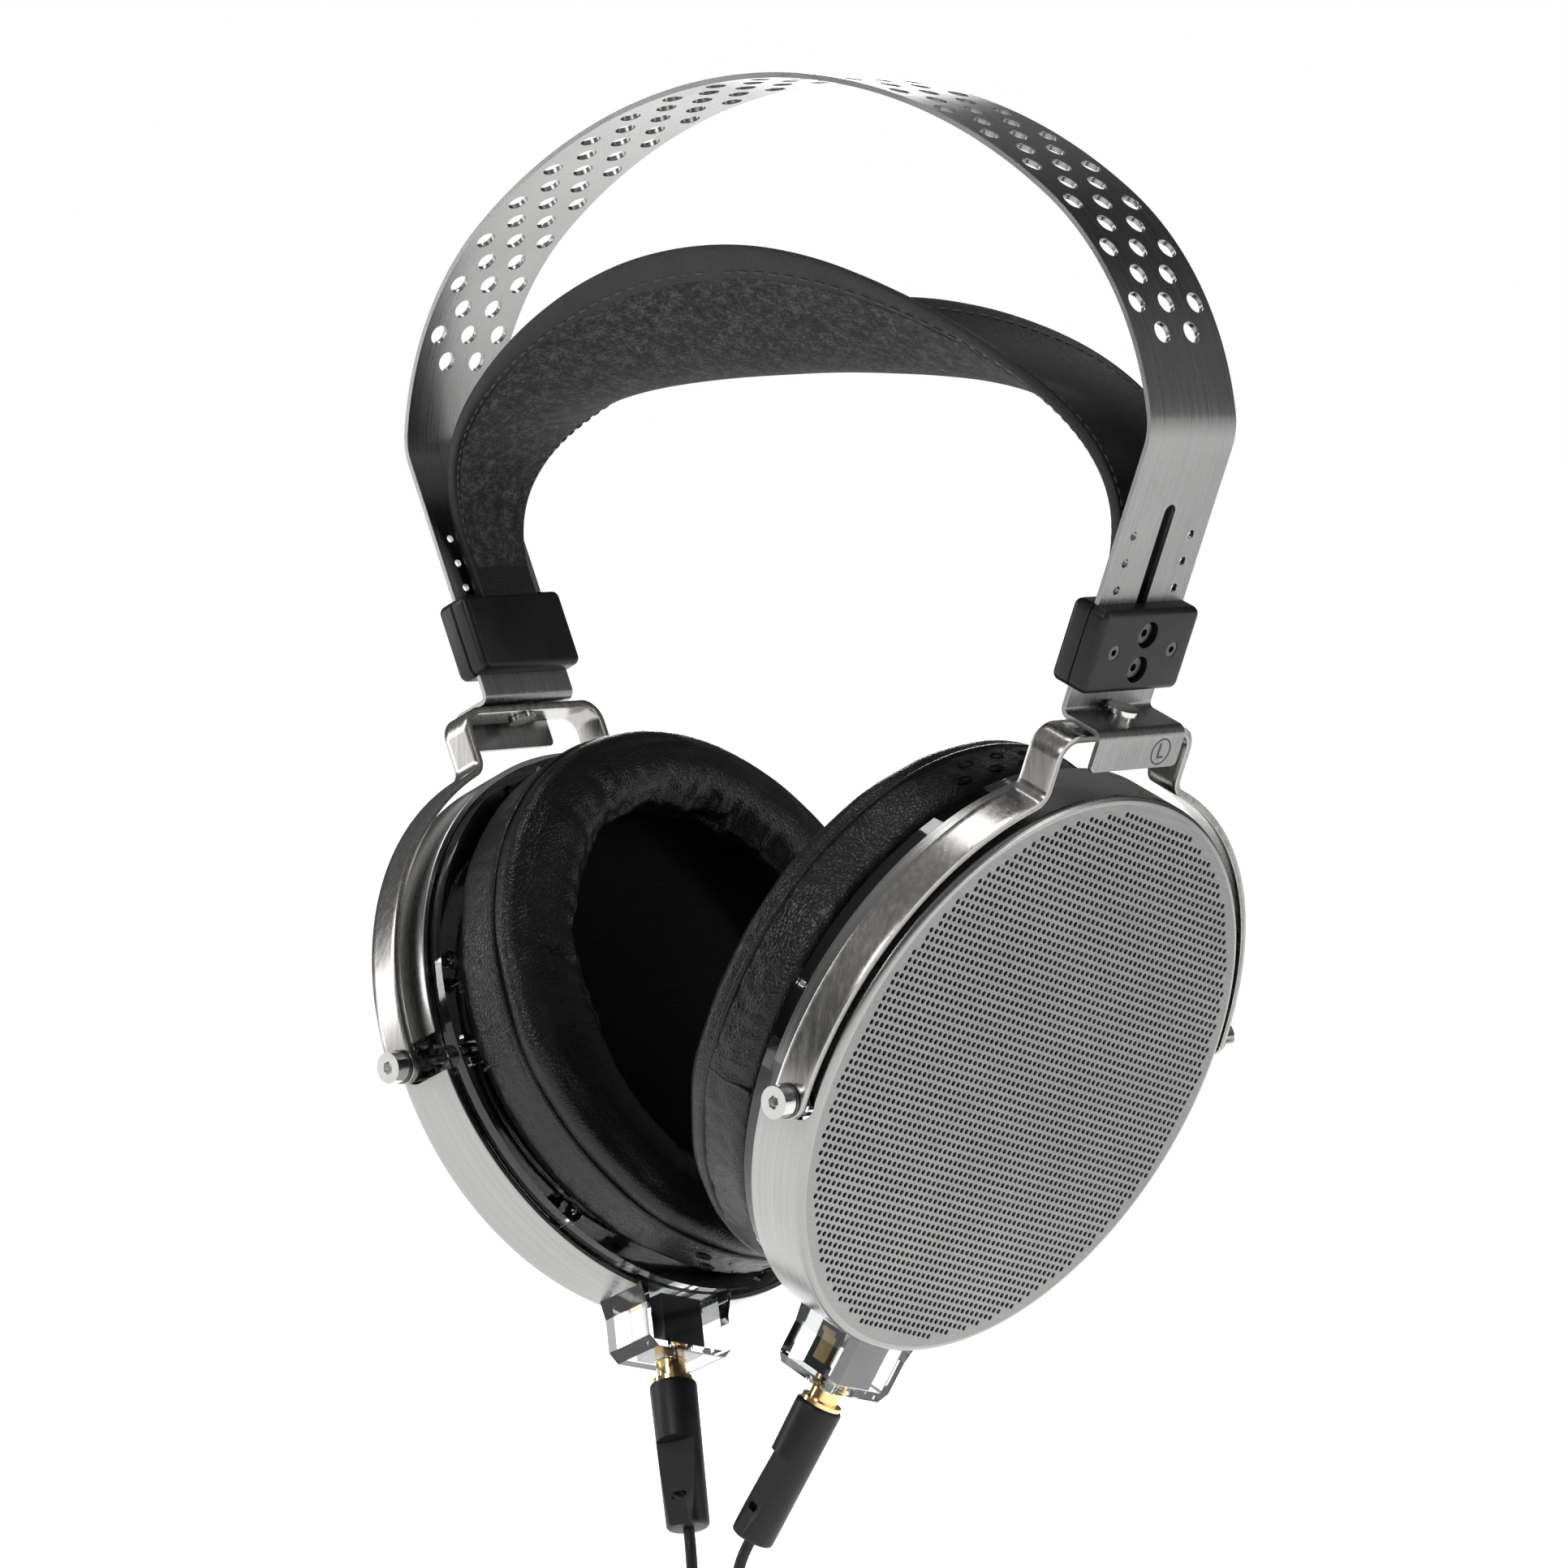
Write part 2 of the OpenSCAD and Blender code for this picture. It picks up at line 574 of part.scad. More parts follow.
module cable_splitter() {
    color([0.1, 0.1, 0.1]) translate([0, coil_c[1], splitter_top - splitter_len]) union() {
        cylinder(d = 4.4, h = 3, $fn = bore_fn);
        translate([0, 0, 2.9]) cylinder(d = 6.6, h = splitter_len - 2.9, $fn = bore_fn);
    }
}
module cord_neck() {
    color("black") tube(neck_route, cord_d);
}
module coil_tie() {
    color([0.1, 0.1, 0.1]) translate([coil_c[0], coil_c[1], coil_c[2] - coil_r]) difference() {
        x_pin(2 * coil_bundle_r + 2.6, -1.6, 1.6, 32);
        x_pin(2 * coil_bundle_r + 0.8, -3, 3, 32);
    }
}
module cord_tail() {
    color("black") tube(tail_route, cord_d);
}
module at_end_plug() {
    translate([tail_route[2][0], tail_route[2][1], tail_route[2][2] - 0.1 - end_sleeve_len]) children();
}
module end_plug_sleeve() {
    color([0.1, 0.1, 0.1]) at_end_plug() cylinder(d1 = 8.6, d2 = 6.6, h = end_sleeve_len, $fn = bore_fn);
}
module end_plug_pin() {
    color("gold") at_end_plug() union() {
        translate([0, 0, -1.2]) cylinder(d = 5.6, h = 1.1, $fn = bore_fn);
        translate([0, 0, -12.5]) cylinder(d = pin_d, h = 11.4, $fn = bore_fn);
        translate([0, 0, -14]) cylinder(d1 = 1.8, d2 = pin_d - 0.2, h = 1.51, $fn = bore_fn);
    }
}

headband_spring();
strap_outer();
strap_lining();
on_side(1) slider_outer_half();  // slider_outer_half_left
on_side(-1) slider_outer_half();  // slider_outer_half_right
on_side(1) slider_inner_half();  // slider_inner_half_left
on_side(-1) slider_inner_half();  // slider_inner_half_right
on_side(1) slider_clamp_screws();  // slider_clamp_screws_left
on_side(-1) slider_clamp_screws();  // slider_clamp_screws_right
on_side(1) detent_plungers();  // detent_plungers_left
on_side(-1) detent_plungers();  // detent_plungers_right
on_side(1) swivel_rivet();  // swivel_rivet_left
on_side(-1) swivel_rivet();  // swivel_rivet_right
on_side(1) swivel_washer();  // swivel_washer_left
on_side(-1) swivel_washer();  // swivel_washer_right
on_side(1) yoke();  // yoke_left
on_side(-1) yoke();  // yoke_right
on_side(1) pivot_screws();  // pivot_screws_left
on_side(-1) pivot_screws();  // pivot_screws_right
on_side(1) pivot_spacers();  // pivot_spacers_left
on_side(-1) pivot_spacers();  // pivot_spacers_right
on_side(1) cup_can();  // cup_can_left
on_side(-1) cup_can();  // cup_can_right
on_side(1) damping_mesh();  // damping_mesh_left
on_side(-1) damping_mesh();  // damping_mesh_right
on_side(1) driver_frame();  // driver_frame_left
on_side(-1) driver_frame();  // driver_frame_right
on_side(1) driver_magnets();  // driver_magnets_left
on_side(-1) driver_magnets();  // driver_magnets_right
on_side(1) driver_diaphragm();  // driver_diaphragm_left
on_side(-1) driver_diaphragm();  // driver_diaphragm_right
on_side(1) clear_frame();  // clear_frame_left
on_side(-1) clear_frame();  // clear_frame_right
on_side(1) frame_screws();  // frame_screws_left
on_side(-1) frame_screws();  // frame_screws_right
on_side(1) jack_socket();  // jack_socket_left
on_side(-1) jack_socket();  // jack_socket_right
on_side(1) jack_contacts();  // jack_contacts_left
on_side(-1) jack_contacts();  // jack_contacts_right
on_side(1) pad_plate();  // pad_plate_left
on_side(-1) pad_plate();  // pad_plate_right
on_side(1) dust_cloth();  // dust_cloth_left
on_side(-1) dust_cloth();  // dust_cloth_right
on_side(1) ear_pad();  // ear_pad_left
on_side(-1) ear_pad();  // ear_pad_right
on_side(1) plug_sleeve();  // plug_sleeve_left
on_side(-1) plug_sleeve();  // plug_sleeve_right
on_side(1) plug_pin();  // plug_pin_left
on_side(-1) plug_pin();  // plug_pin_right
on_side(1) lead_upper();  // lead_upper_left
on_side(-1) lead_upper();  // lead_upper_right
on_side(1) lead_lower();  // lead_lower_left
on_side(-1) lead_lower();  // lead_lower_right
cable_splitter();
cord_neck();
cord_coil();
coil_tie();
cord_tail();
end_plug_sleeve();
end_plug_pin();
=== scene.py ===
"""Looks for a pair of open-back over-ear headphones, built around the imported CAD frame.

The wearer faces -Y and the left cup is at +X. Every length is in metres. Pieces are made
for the left side and mirrored for the right.
"""
import json
import math
from math import atan2, ceil, cos, pi, radians, sin, sqrt

import bmesh
import bpy
from mathutils import Matrix, Vector, noise
from mathutils.geometry import delaunay_2d_cdt


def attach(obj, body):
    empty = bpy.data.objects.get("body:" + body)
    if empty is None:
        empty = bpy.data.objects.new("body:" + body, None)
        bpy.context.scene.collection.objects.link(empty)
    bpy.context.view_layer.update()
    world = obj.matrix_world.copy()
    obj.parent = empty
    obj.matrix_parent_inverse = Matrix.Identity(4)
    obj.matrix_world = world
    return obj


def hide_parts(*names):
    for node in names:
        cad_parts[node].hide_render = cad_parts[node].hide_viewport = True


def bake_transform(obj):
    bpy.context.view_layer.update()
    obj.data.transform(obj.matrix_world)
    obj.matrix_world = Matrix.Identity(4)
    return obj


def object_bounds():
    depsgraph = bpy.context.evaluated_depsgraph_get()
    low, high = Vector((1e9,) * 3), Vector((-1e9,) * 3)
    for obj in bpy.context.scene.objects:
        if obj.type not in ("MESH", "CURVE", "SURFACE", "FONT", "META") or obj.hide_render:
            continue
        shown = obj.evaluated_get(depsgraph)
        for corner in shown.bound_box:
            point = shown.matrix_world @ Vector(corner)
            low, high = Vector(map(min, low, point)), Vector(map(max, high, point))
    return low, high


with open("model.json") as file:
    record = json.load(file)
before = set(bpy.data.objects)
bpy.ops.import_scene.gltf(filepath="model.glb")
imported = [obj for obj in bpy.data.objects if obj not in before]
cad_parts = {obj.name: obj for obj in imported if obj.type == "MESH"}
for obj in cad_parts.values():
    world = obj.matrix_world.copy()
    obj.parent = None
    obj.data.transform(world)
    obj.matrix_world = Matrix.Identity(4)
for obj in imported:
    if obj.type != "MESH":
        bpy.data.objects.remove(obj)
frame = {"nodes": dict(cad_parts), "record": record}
CAD_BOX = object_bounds()
MM = 0.001
SIDES = (("left", 1), ("right", -1))
JOINTS = {j["name"]: j for j in frame["record"]["behaviour"]["joints"]}

# The left cup's own frame: out along the cup's axis, up along the hanging axis
PIVOT = Vector(JOINTS["cup_tilt_left"]["pos_m"])
UP = Vector(JOINTS["yoke_swivel_left"]["axis"]).normalized()
OUT = Vector((UP.z, 0, -UP.x))
TILT = atan2(UP.x, UP.z)
AXIS_X = 3.9 * MM
PIVOT_DROP = 125.9 * MM
BEND = PIVOT - OUT * AXIS_X + UP * PIVOT_DROP
JACK_TURN = radians(16)


# ---------------------------------------------------------------- small tools

def frame_matrix(origin, out, along, up):
    m = Matrix((out, along, up)).transposed().to_4x4()
    m.translation = origin
    return m


HANG = frame_matrix(BEND, OUT, Vector((0, 1, 0)), UP)
CUP = frame_matrix(PIVOT, OUT, Vector((0, 1, 0)), UP)
JACK = CUP @ Matrix.Rotation(-JACK_TURN, 4, "X")


def new_object(name, verts, faces, smooth=True):
    mesh = bpy.data.meshes.new(name)
    mesh.from_pydata([tuple(v) for v in verts], [], faces)
    mesh.validate()
    mesh.update()
    obj = bpy.data.objects.new(name, mesh)
    bpy.context.collection.objects.link(obj)
    if smooth:
        shade(obj)
    return obj


def shade(obj, angle=38):
    """Smooth shading with sharp edges over the given angle."""
    mesh = obj.data
    mesh.polygons.foreach_set("use_smooth", [True] * len(mesh.polygons))
    bm = bmesh.new()
    bm.from_mesh(mesh)
    limit = radians(angle)
    for edge in bm.edges:
        edge.smooth = len(edge.link_faces) == 2 and edge.calc_face_angle(0) < limit
    bm.to_mesh(mesh)
    bm.free()
    mesh.update()


def apply_modifiers(obj):
    depsgraph = bpy.context.evaluated_depsgraph_get()
    mesh = bpy.data.meshes.new_from_object(obj.evaluated_get(depsgraph))
    obj.modifiers.clear()
    old = obj.data
    obj.data = mesh
    bpy.data.meshes.remove(old)


def bevel(obj, width, segments=2, angle=40):
    mod = obj.modifiers.new("bevel", "BEVEL")
    mod.width = width
    mod.segments = segments
    mod.limit_method = "ANGLE"
    mod.angle_limit = radians(angle)
    apply_modifiers(obj)
    shade(obj)


def cut(obj, cutters):
    for cutter in cutters:
        mod = obj.modifiers.new("cut", "BOOLEAN")
        mod.object = cutter
        mod.operation = "DIFFERENCE"
        mod.solver = "EXACT"
    apply_modifiers(obj)
    for cutter in cutters:
        bpy.data.objects.remove(cutter)
    shade(obj)


def join(name, objs):
    """One mesh from several, keeping each one's material slots."""
    bm = bmesh.new()
    mats = []
    for obj in objs:
        remap = []
        for mat in obj.data.materials:
            if mat not in mats:
                mats.append(mat)
            remap.append(mats.index(mat))
        part = obj.data.copy()
        if remap:
            for poly in part.polygons:
                poly.material_index = remap[poly.material_index]
        bm.from_mesh(part)
        bpy.data.meshes.remove(part)
        bpy.data.objects.remove(obj)
    mesh = bpy.data.meshes.new(name)
    bm.to_mesh(mesh)
    bm.free()
    for mat in mats:
        mesh.materials.append(mat)
    joined = bpy.data.objects.new(name, mesh)
    bpy.context.collection.objects.link(joined)
    return joined


def copy_of(obj, name):
    twin = bpy.data.objects.new(name, obj.data.copy())
    bpy.context.collection.objects.link(twin)
    return twin


def mirror_mesh(obj):
    mesh = obj.data
    mesh.transform(Matrix.Scale(-1, 4, (1, 0, 0)))
    mesh.flip_normals()
    mesh.update()


def both_sides(name, make, place, body, nodes, mats):
    """make() gives a left piece in its own frame; place takes it to the row frame."""
    made = []
    base = make()
    base.data.transform(place)
    base.data.materials.clear()
    for side, sign in SIDES:
        obj = copy_of(base, f"{name}_{side}")
        if sign < 0:
            mirror_mesh(obj)
        mat = mats[side] if isinstance(mats, dict) else mats
        obj.data.materials.append(mat)
        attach(obj, body.format(side))
        if nodes:
            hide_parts(*[n.format(side) for n in nodes])
        made.append(obj)
    bpy.data.objects.remove(base)
    return made


def ring_faces(rings, count, closed=False):
    """Faces between neighbouring rings of count points; closed joins the last ring to the first."""
    faces = []
    for i in range(rings if closed else rings - 1):
        j = (i + 1) % rings
        for k in range(count):
            m = (k + 1) % count
            faces.append((i * count + k, i * count + m, j * count + m, j * count + k))
    return faces


def stitch_faces(base):
    """One stitch's faces: four rings of six points from index base on, with both ends closed."""
    faces = [tuple(base + n for n in face) for face in ring_faces(4, 6)]
    return faces + [tuple(base + k for k in reversed(range(6))), tuple(base + 18 + k for k in range(6))]


def lathe(name, profile, steps=192):
    """A closed profile of (axial, radius) points turned about X."""
    count = len(profile)
    verts = []
    for i in range(steps):
        a = 2 * pi * i / steps
        verts += [(x, r * sin(a), r * cos(a)) for x, r in profile]
    obj = new_object(name, verts, ring_faces(steps, count, closed=True), smooth=False)
    fix_normals(obj)
    return obj


def fix_normals(obj):
    bm = bmesh.new()
    bm.from_mesh(obj.data)
    bmesh.ops.remove_doubles(bm, verts=bm.verts, dist=1e-7)
    bmesh.ops.recalc_face_normals(bm, faces=bm.faces)
    bm.to_mesh(obj.data)
    bm.free()
    shade(obj)


def block(name, lo, hi):
    bm = bmesh.new()
    bmesh.ops.create_cube(bm, size=1)
    size = Vector(hi) - Vector(lo)
    mid = (Vector(hi) + Vector(lo)) / 2
    bmesh.ops.transform(bm, matrix=Matrix.Translation(mid) @ Matrix.Diagonal((*size, 1)), verts=bm.verts)
    mesh = bpy.data.meshes.new(name)
    bm.to_mesh(mesh)
    bm.free()
    obj = bpy.data.objects.new(name, mesh)
    bpy.context.collection.objects.link(obj)
    return obj


def rod(name, start, end, radius, sides=32, end_radius=None):
    start, end = Vector(start), Vector(end)
    axis = end - start
    turn = axis.to_track_quat("Z", "Y").to_matrix().to_4x4()
    bm = bmesh.new()
    bmesh.ops.create_cone(bm, cap_ends=True, segments=sides, radius1=radius,
                          radius2=radius if end_radius is None else end_radius, depth=axis.length)
    bmesh.ops.transform(bm, matrix=Matrix.Translation((start + end) / 2) @ turn, verts=bm.verts)
    mesh = bpy.data.meshes.new(name)
    bm.to_mesh(mesh)
    bm.free()
    obj = bpy.data.objects.new(name, mesh)
    bpy.context.collection.objects.link(obj)
    return obj


def tube_mesh(name, path, radius, sides=16):
    """A capped tube along points, with rings that keep their turn."""
    path = [Vector(p) for p in path]
    verts = []
    side = None
    for i, p in enumerate(path):
        d = (path[min(i + 1, len(path) - 1)] - path[max(i - 1, 0)]).normalized()
        side = (side - d * side.dot(d)).normalized() if side else d.orthogonal().normalized()
        up = d.cross(side)
        verts += [p + radius * (cos(2 * pi * k / sides) * side + sin(2 * pi * k / sides) * up)
                  for k in range(sides)]
    faces = ring_faces(len(path), sides)
    faces.append(tuple(reversed(range(sides))))
    faces.append(tuple((len(path) - 1) * sides + k for k in range(sides)))
    return new_object(name, verts, faces)


def smooth_route(points, step):
    """A Catmull-Rom curve through the points, at about the given step."""
    pts = [Vector(p) for p in points]
    pts = [pts[0] * 2 - pts[1]] + pts + [pts[-1] * 2 - pts[-2]]
    out = []
    for i in range(1, len(pts) - 2):
        a, b, c, d = pts[i - 1:i + 3]
        n = max(1, ceil((c - b).length / step))
        for k in range(n):
            t = k / n
            out.append(0.5 * ((2 * b) + (c - a) * t + (2 * a - 5 * b + 4 * c - d) * t * t
                              + (3 * b - a - 3 * c + d) * t ** 3))
    out.append(pts[-2])
    return out


# ------------------------------------------------------------------ materials

class Nodes:
    """Builds one Principled material with a few helpers for its node tree."""

    def __init__(self, name, color, rough, metallic=0.0, **sockets):
        self.mat = bpy.data.materials.new(name)
        self.mat.use_nodes = True
        self.tree = self.mat.node_tree
        self.bsdf = self.tree.nodes["Principled BSDF"]
        self.bsdf.inputs["Base Color"].default_value = (*color, 1)
        self.bsdf.inputs["Roughness"].default_value = rough
        self.bsdf.inputs["Metallic"].default_value = metallic
        for key, value in sockets.items():
            self.bsdf.inputs[key.replace("_", " ")].default_value = value
        self.coords = self.add("ShaderNodeTexCoord").outputs["Object"]

    def add(self, kind, **props):
        node = self.tree.nodes.new(kind)
        for key, value in props.items():
            setattr(node, key, value)
        return node

    def link(self, a, b):
        self.tree.links.new(a, b)

    def mapped(self, scale, source=None):
        node = self.add("ShaderNodeMapping")
        node.inputs["Scale"].default_value = scale
        self.link(source or self.coords, node.inputs["Vector"])
        return node.outputs[0]

    def along(self, directions):
        """Coordinates measured along three given unit vectors, each with its own scale."""
        combine = self.add("ShaderNodeCombineXYZ")
        for i, (axis, scale) in enumerate(directions):
            dot = self.add("ShaderNodeVectorMath", operation="DOT_PRODUCT")
            self.link(self.coords, dot.inputs[0])
            dot.inputs[1].default_value = Vector(axis) * scale
            self.link(dot.outputs["Value"], combine.inputs[i])
        return combine.outputs[0]

    def noise(self, vector, scale, detail=3.0, roughness=0.55):
        node = self.add("ShaderNodeTexNoise")
        node.inputs["Scale"].default_value = scale
        node.inputs["Detail"].default_value = detail
        node.inputs["Roughness"].default_value = roughness
        self.link(vector, node.inputs["Vector"])
        return node.outputs["Fac"]

    def voronoi(self, vector, scale, feature="F1", randomness=1.0):
        node = self.add("ShaderNodeTexVoronoi", feature=feature)
        node.inputs["Scale"].default_value = scale
        node.inputs["Randomness"].default_value = randomness
        self.link(vector, node.inputs["Vector"])
        return node.outputs["Distance"]

    def ramp(self, fac, stops):
        node = self.add("ShaderNodeValToRGB")
        elements = node.color_ramp.elements
        while len(elements) < len(stops):
            elements.new(0.5)
        for element, (pos, color) in zip(elements, stops):
            element.position = pos
            element.color = (*color, 1) if len(color) == 3 else color
        self.link(fac, node.inputs[0])
        return node.outputs[0]

    def remap(self, fac, low, high, from_low=0.3, from_high=0.7):
        node = self.add("ShaderNodeMapRange")
        node.inputs["From Min"].default_value = from_low
        node.inputs["From Max"].default_value = from_high
        node.inputs["To Min"].default_value = low
        node.inputs["To Max"].default_value = high
        self.link(fac, node.inputs["Value"])
        return node.outputs[0]

    def mixed(self, a, b, op="ADD"):
        node = self.add("ShaderNodeMath", operation=op)
        for i, value in enumerate((a, b)):
            if isinstance(value, (int, float)):
                node.inputs[i].default_value = value
            else:
                self.link(value, node.inputs[i])
        return node.outputs[0]

    def bump(self, height, strength, distance):
        node = self.add("ShaderNodeBump")
        node.inputs["Strength"].default_value = strength
        node.inputs["Distance"].default_value = distance
        self.link(height, node.inputs["Height"])
        self.link(node.outputs[0], self.bsdf.inputs["Normal"])

    def stretch(self, amount, tangent=None):
        """Stretch reflections across the brushing, which runs along tangent or round the X axis."""
        self.bsdf.inputs["Anisotropic"].default_value = amount
        if tangent is None:
            node = self.add("ShaderNodeTangent", direction_type="RADIAL", axis="X")
            self.link(node.outputs[0], self.bsdf.inputs["Tangent"])
            return
        node = self.add("ShaderNodeVectorMath", operation="NORMALIZE")
        node.inputs[0].default_value = tangent
        self.link(node.outputs[0], self.bsdf.inputs["Tangent"])

    def color(self, out):
        self.link(out, self.bsdf.inputs["Base Color"])

    def rough(self, out):
        self.link(out, self.bsdf.inputs["Roughness"])


def brushed(name, directions, color, rough, depth=0.35, tangent=None, stretch=0.75):
    """Steel brushed in fine lines. directions gives the line-crossing axis first."""
    m = Nodes(name, color, rough[0], 1.0)
    lines = m.noise(m.along(directions), 1.0, 4.0, 0.7)
    cloud = m.noise(m.coords, 60, 2.0)
    m.color(m.ramp(m.mixed(m.mixed(lines, 0.75, "MULTIPLY"), m.mixed(cloud, 0.25, "MULTIPLY")),
                   [(0.3, [c * 0.8 for c in color]), (0.7, [min(1, c * 1.14) for c in color])]))
    m.rough(m.remap(lines, rough[0], rough[1]))
    m.bump(lines, depth, 0.00003)
    if tangent:
        m.stretch(stretch, tangent)
    return m.mat


def ring_brushed(name, axis, color=(0.31, 0.31, 0.305)):
    """Steel brushed round an axis: the lines change only along the axis and outwards."""
    m = Nodes(name, color, 0.24, 1.0)
    axial = m.add("ShaderNodeVectorMath", operation="DOT_PRODUCT")
    m.link(m.coords, axial.inputs[0])
    axial.inputs[1].default_value = Vector(axis) * 5200
    flow = m.noise(m.mapped((35, 35, 35)), 1.0, 1.0)
    combine = m.add("ShaderNodeCombineXYZ")
    m.link(axial.outputs["Value"], combine.inputs[0])
    m.link(flow, combine.inputs[1])
    lines = m.noise(combine.outputs[0], 1.0, 4.0, 0.7)
    m.color(m.ramp(lines, [(0.3, [c * 0.85 for c in color]), (0.7, [min(1, c * 1.12) for c in color])]))
    m.rough(m.remap(lines, 0.2, 0.32))
    m.bump(lines, 0.25, 0.00002)
    m.stretch(0.7)
    return m.mat


def polished(name, color=(0.6, 0.6, 0.59), rough=0.14):
    m = Nodes(name, color, rough, 1.0)
    smudge = m.noise(m.coords, 240, 4.0)
    m.rough(m.remap(smudge, rough * 0.7, rough * 1.6))
    m.color(m.ramp(smudge, [(0.3, [c * 0.93 for c in color]), (0.7, color)]))
    m.bump(m.noise(m.coords, 900, 3.0), 0.06, 0.00003)
    return m.mat


def moulded(name, color=(0.006, 0.006, 0.0063), rough=0.36, grain=0.18):
    m = Nodes(name, color, rough, Specular_IOR_Level=0.28)
    fine = m.noise(m.coords, 5200, 2.0)
    cloud = m.noise(m.coords, 120, 3.0)
    m.rough(m.remap(cloud, rough - 0.06, rough + 0.08))
    m.color(m.ramp(cloud, [(0.35, [c * 0.85 for c in color]), (0.65, [c * 1.25 for c in color])]))
    m.bump(fine, grain, 0.00004)
    return m.mat


def leather(name, color, rough, scale, depth):
    """Grained leather: cells, finer pores and broad creases."""
    m = Nodes(name, color, rough, Specular_IOR_Level=0.3)
    wander = m.noise(m.coords, scale * 0.35, 2.0)
    warp = m.add("ShaderNodeVectorMath", operation="MULTIPLY_ADD")
    m.link(wander, warp.inputs[0])
    warp.inputs[1].default_value = (0.0012, 0.0012, 0.0012)
    m.link(m.coords, warp.inputs[2])
    cells = m.voronoi(warp.outputs[0], scale, "DISTANCE_TO_EDGE")
    grooves = m.remap(cells, 0.0, 1.0, 0.0, 0.22)
    pores = m.noise(m.coords, scale * 4, 3.0)
    crease = m.noise(m.mapped((1, 1, 1)), scale * 0.08, 4.0, 0.6)
    height = m.mixed(m.mixed(grooves, m.mixed(pores, 0.35, "MULTIPLY")), m.mixed(crease, 0.8, "MULTIPLY"))
    m.bump(height, 0.4, depth)
    m.rough(m.remap(m.mixed(m.mixed(pores, 0.5, "MULTIPLY"), m.mixed(crease, 0.5, "MULTIPLY")),
                    rough - 0.1, rough + 0.12))
    m.color(m.ramp(crease, [(0.3, [c * 0.75 for c in color]), (0.7, [c * 1.35 for c in color])]))
    return m.mat


def felt(name, color=(0.022, 0.022, 0.0228)):
    """Short-napped microfibre: a mottled fuzz with fine fibres lying both ways."""
    m = Nodes(name, color, 0.95, Specular_IOR_Level=0.08, Sheen_Weight=0.06, Sheen_Roughness=0.6)
    fibre_a = m.noise(m.mapped((2600, 700, 2600)), 1.0, 4.0, 0.7)
    fibre_b = m.noise(m.mapped((900, 2600, 900)), 1.0, 4.0, 0.7)
    mottle = m.noise(m.coords, 420, 4.0, 0.65)
    fuzz = m.mixed(m.mixed(fibre_a, fibre_b), mottle)
    m.color(m.ramp(m.mixed(fuzz, 0.333, "MULTIPLY"),
                   [(0.4, [c * 0.3 for c in color]), (0.5, color), (0.6, [c * 3.2 for c in color])]))
    m.bump(fuzz, 0.6, 0.00018)
    return m.mat


def clear(name):
    m = Nodes(name, (0.97, 0.98, 0.985), 0.04, Transmission_Weight=1.0, IOR=1.49)
    haze = m.noise(m.coords, 90, 3.0)
    m.rough(m.remap(haze, 0.02, 0.09))
    m.bump(m.noise(m.coords, 300, 2.0), 0.05, 0.0001)
    return m.mat


def thread(name, color=(0.012, 0.012, 0.0125)):
    m = Nodes(name, color, 0.7, Sheen_Weight=0.03)
    m.bump(m.noise(m.coords, 3500, 2.0), 0.5, 0.0001)
    m.color(m.ramp(m.noise(m.coords, 800, 2.0),
                   [(0.3, [c * 0.7 for c in color]), (0.7, [c * 1.5 for c in color])]))
    return m.mat


def cloth(name):
    """Thin black open-weave cloth."""
    m = Nodes(name, (0.006, 0.006, 0.006), 0.9, Specular_IOR_Level=0.1)
    weave = m.mixed(m.noise(m.mapped((1, 2400, 1)), 1.0, 2.0), m.noise(m.mapped((1, 1, 2400)), 1.0, 2.0))
    m.bump(weave, 0.5, 0.0002)
    m.color(m.ramp(m.mixed(weave, 0.5, "MULTIPLY"),
                   [(0.35, (0.003, 0.003, 0.003)), (0.7, (0.012, 0.012, 0.012))]))
    return m.mat


# The grille's rows and the brushing along them lean with the whole lattice
GRILLE_TURN = radians(17)
FACE_DOWN = (CUP.to_3x3() @ Vector((0, -sin(GRILLE_TURN), -cos(GRILLE_TURN)))).normalized()
FACE_ROW = (CUP.to_3x3() @ Vector((0, cos(GRILLE_TURN), -sin(GRILLE_TURN)))).normalized()


def flip_x(v):
    return Vector((-v.x, v.y, v.z))


M_BAND = brushed("spring_steel", [((0, 1, 0), 5200), ((1, 0, 0), 30), ((0, 0, 1), 30)],
                 color=(0.3, 0.3, 0.296), rough=(0.24, 0.34), tangent=(1, 0, 0.01), stretch=0.6)
M_FACE = {side: brushed("face_steel_" + side,
                        [(FACE_DOWN if sign > 0 else flip_x(FACE_DOWN), 4600),
                         (FACE_ROW if sign > 0 else flip_x(FACE_ROW), 45), ((0, 0, 0), 1)],
                        color=(0.25, 0.25, 0.247), rough=(0.22, 0.32),
                        tangent=FACE_ROW if sign > 0 else flip_x(FACE_ROW)) for side, sign in SIDES}
M_WALL = {side: ring_brushed("rim_steel_" + side, OUT if sign > 0 else flip_x(OUT)) for side, sign in SIDES}
M_YOKE = brushed("yoke_steel", [((0, 1, 0), 900), ((1, 0, 0), 900), ((0, 0, 1), 60)],
                 color=(0.36, 0.352, 0.342), rough=(0.2, 0.3), depth=0.15)
M_SCREW = polished("bright_steel")
M_DARK_SCREW = polished("blackened_steel", (0.11, 0.11, 0.115), 0.28)
M_GOLD = polished("gold_plate", (0.83, 0.62, 0.3), 0.16)
M_BLACK = moulded("moulded_black")
M_SLEEVE = moulded("sleeve_black", (0.008, 0.008, 0.0083), 0.42, 0.3)
M_RUBBER = moulded("black_rubber", (0.005, 0.005, 0.005), 0.6, 0.25)
M_CORD = moulded("cord_black", (0.008, 0.008, 0.0083), 0.45, 0.15)
M_CLEAR = clear("clear_plastic")
M_STRAP = leather("strap_leather", (0.0035, 0.0035, 0.0036), 0.48, 1500, 0.00008)
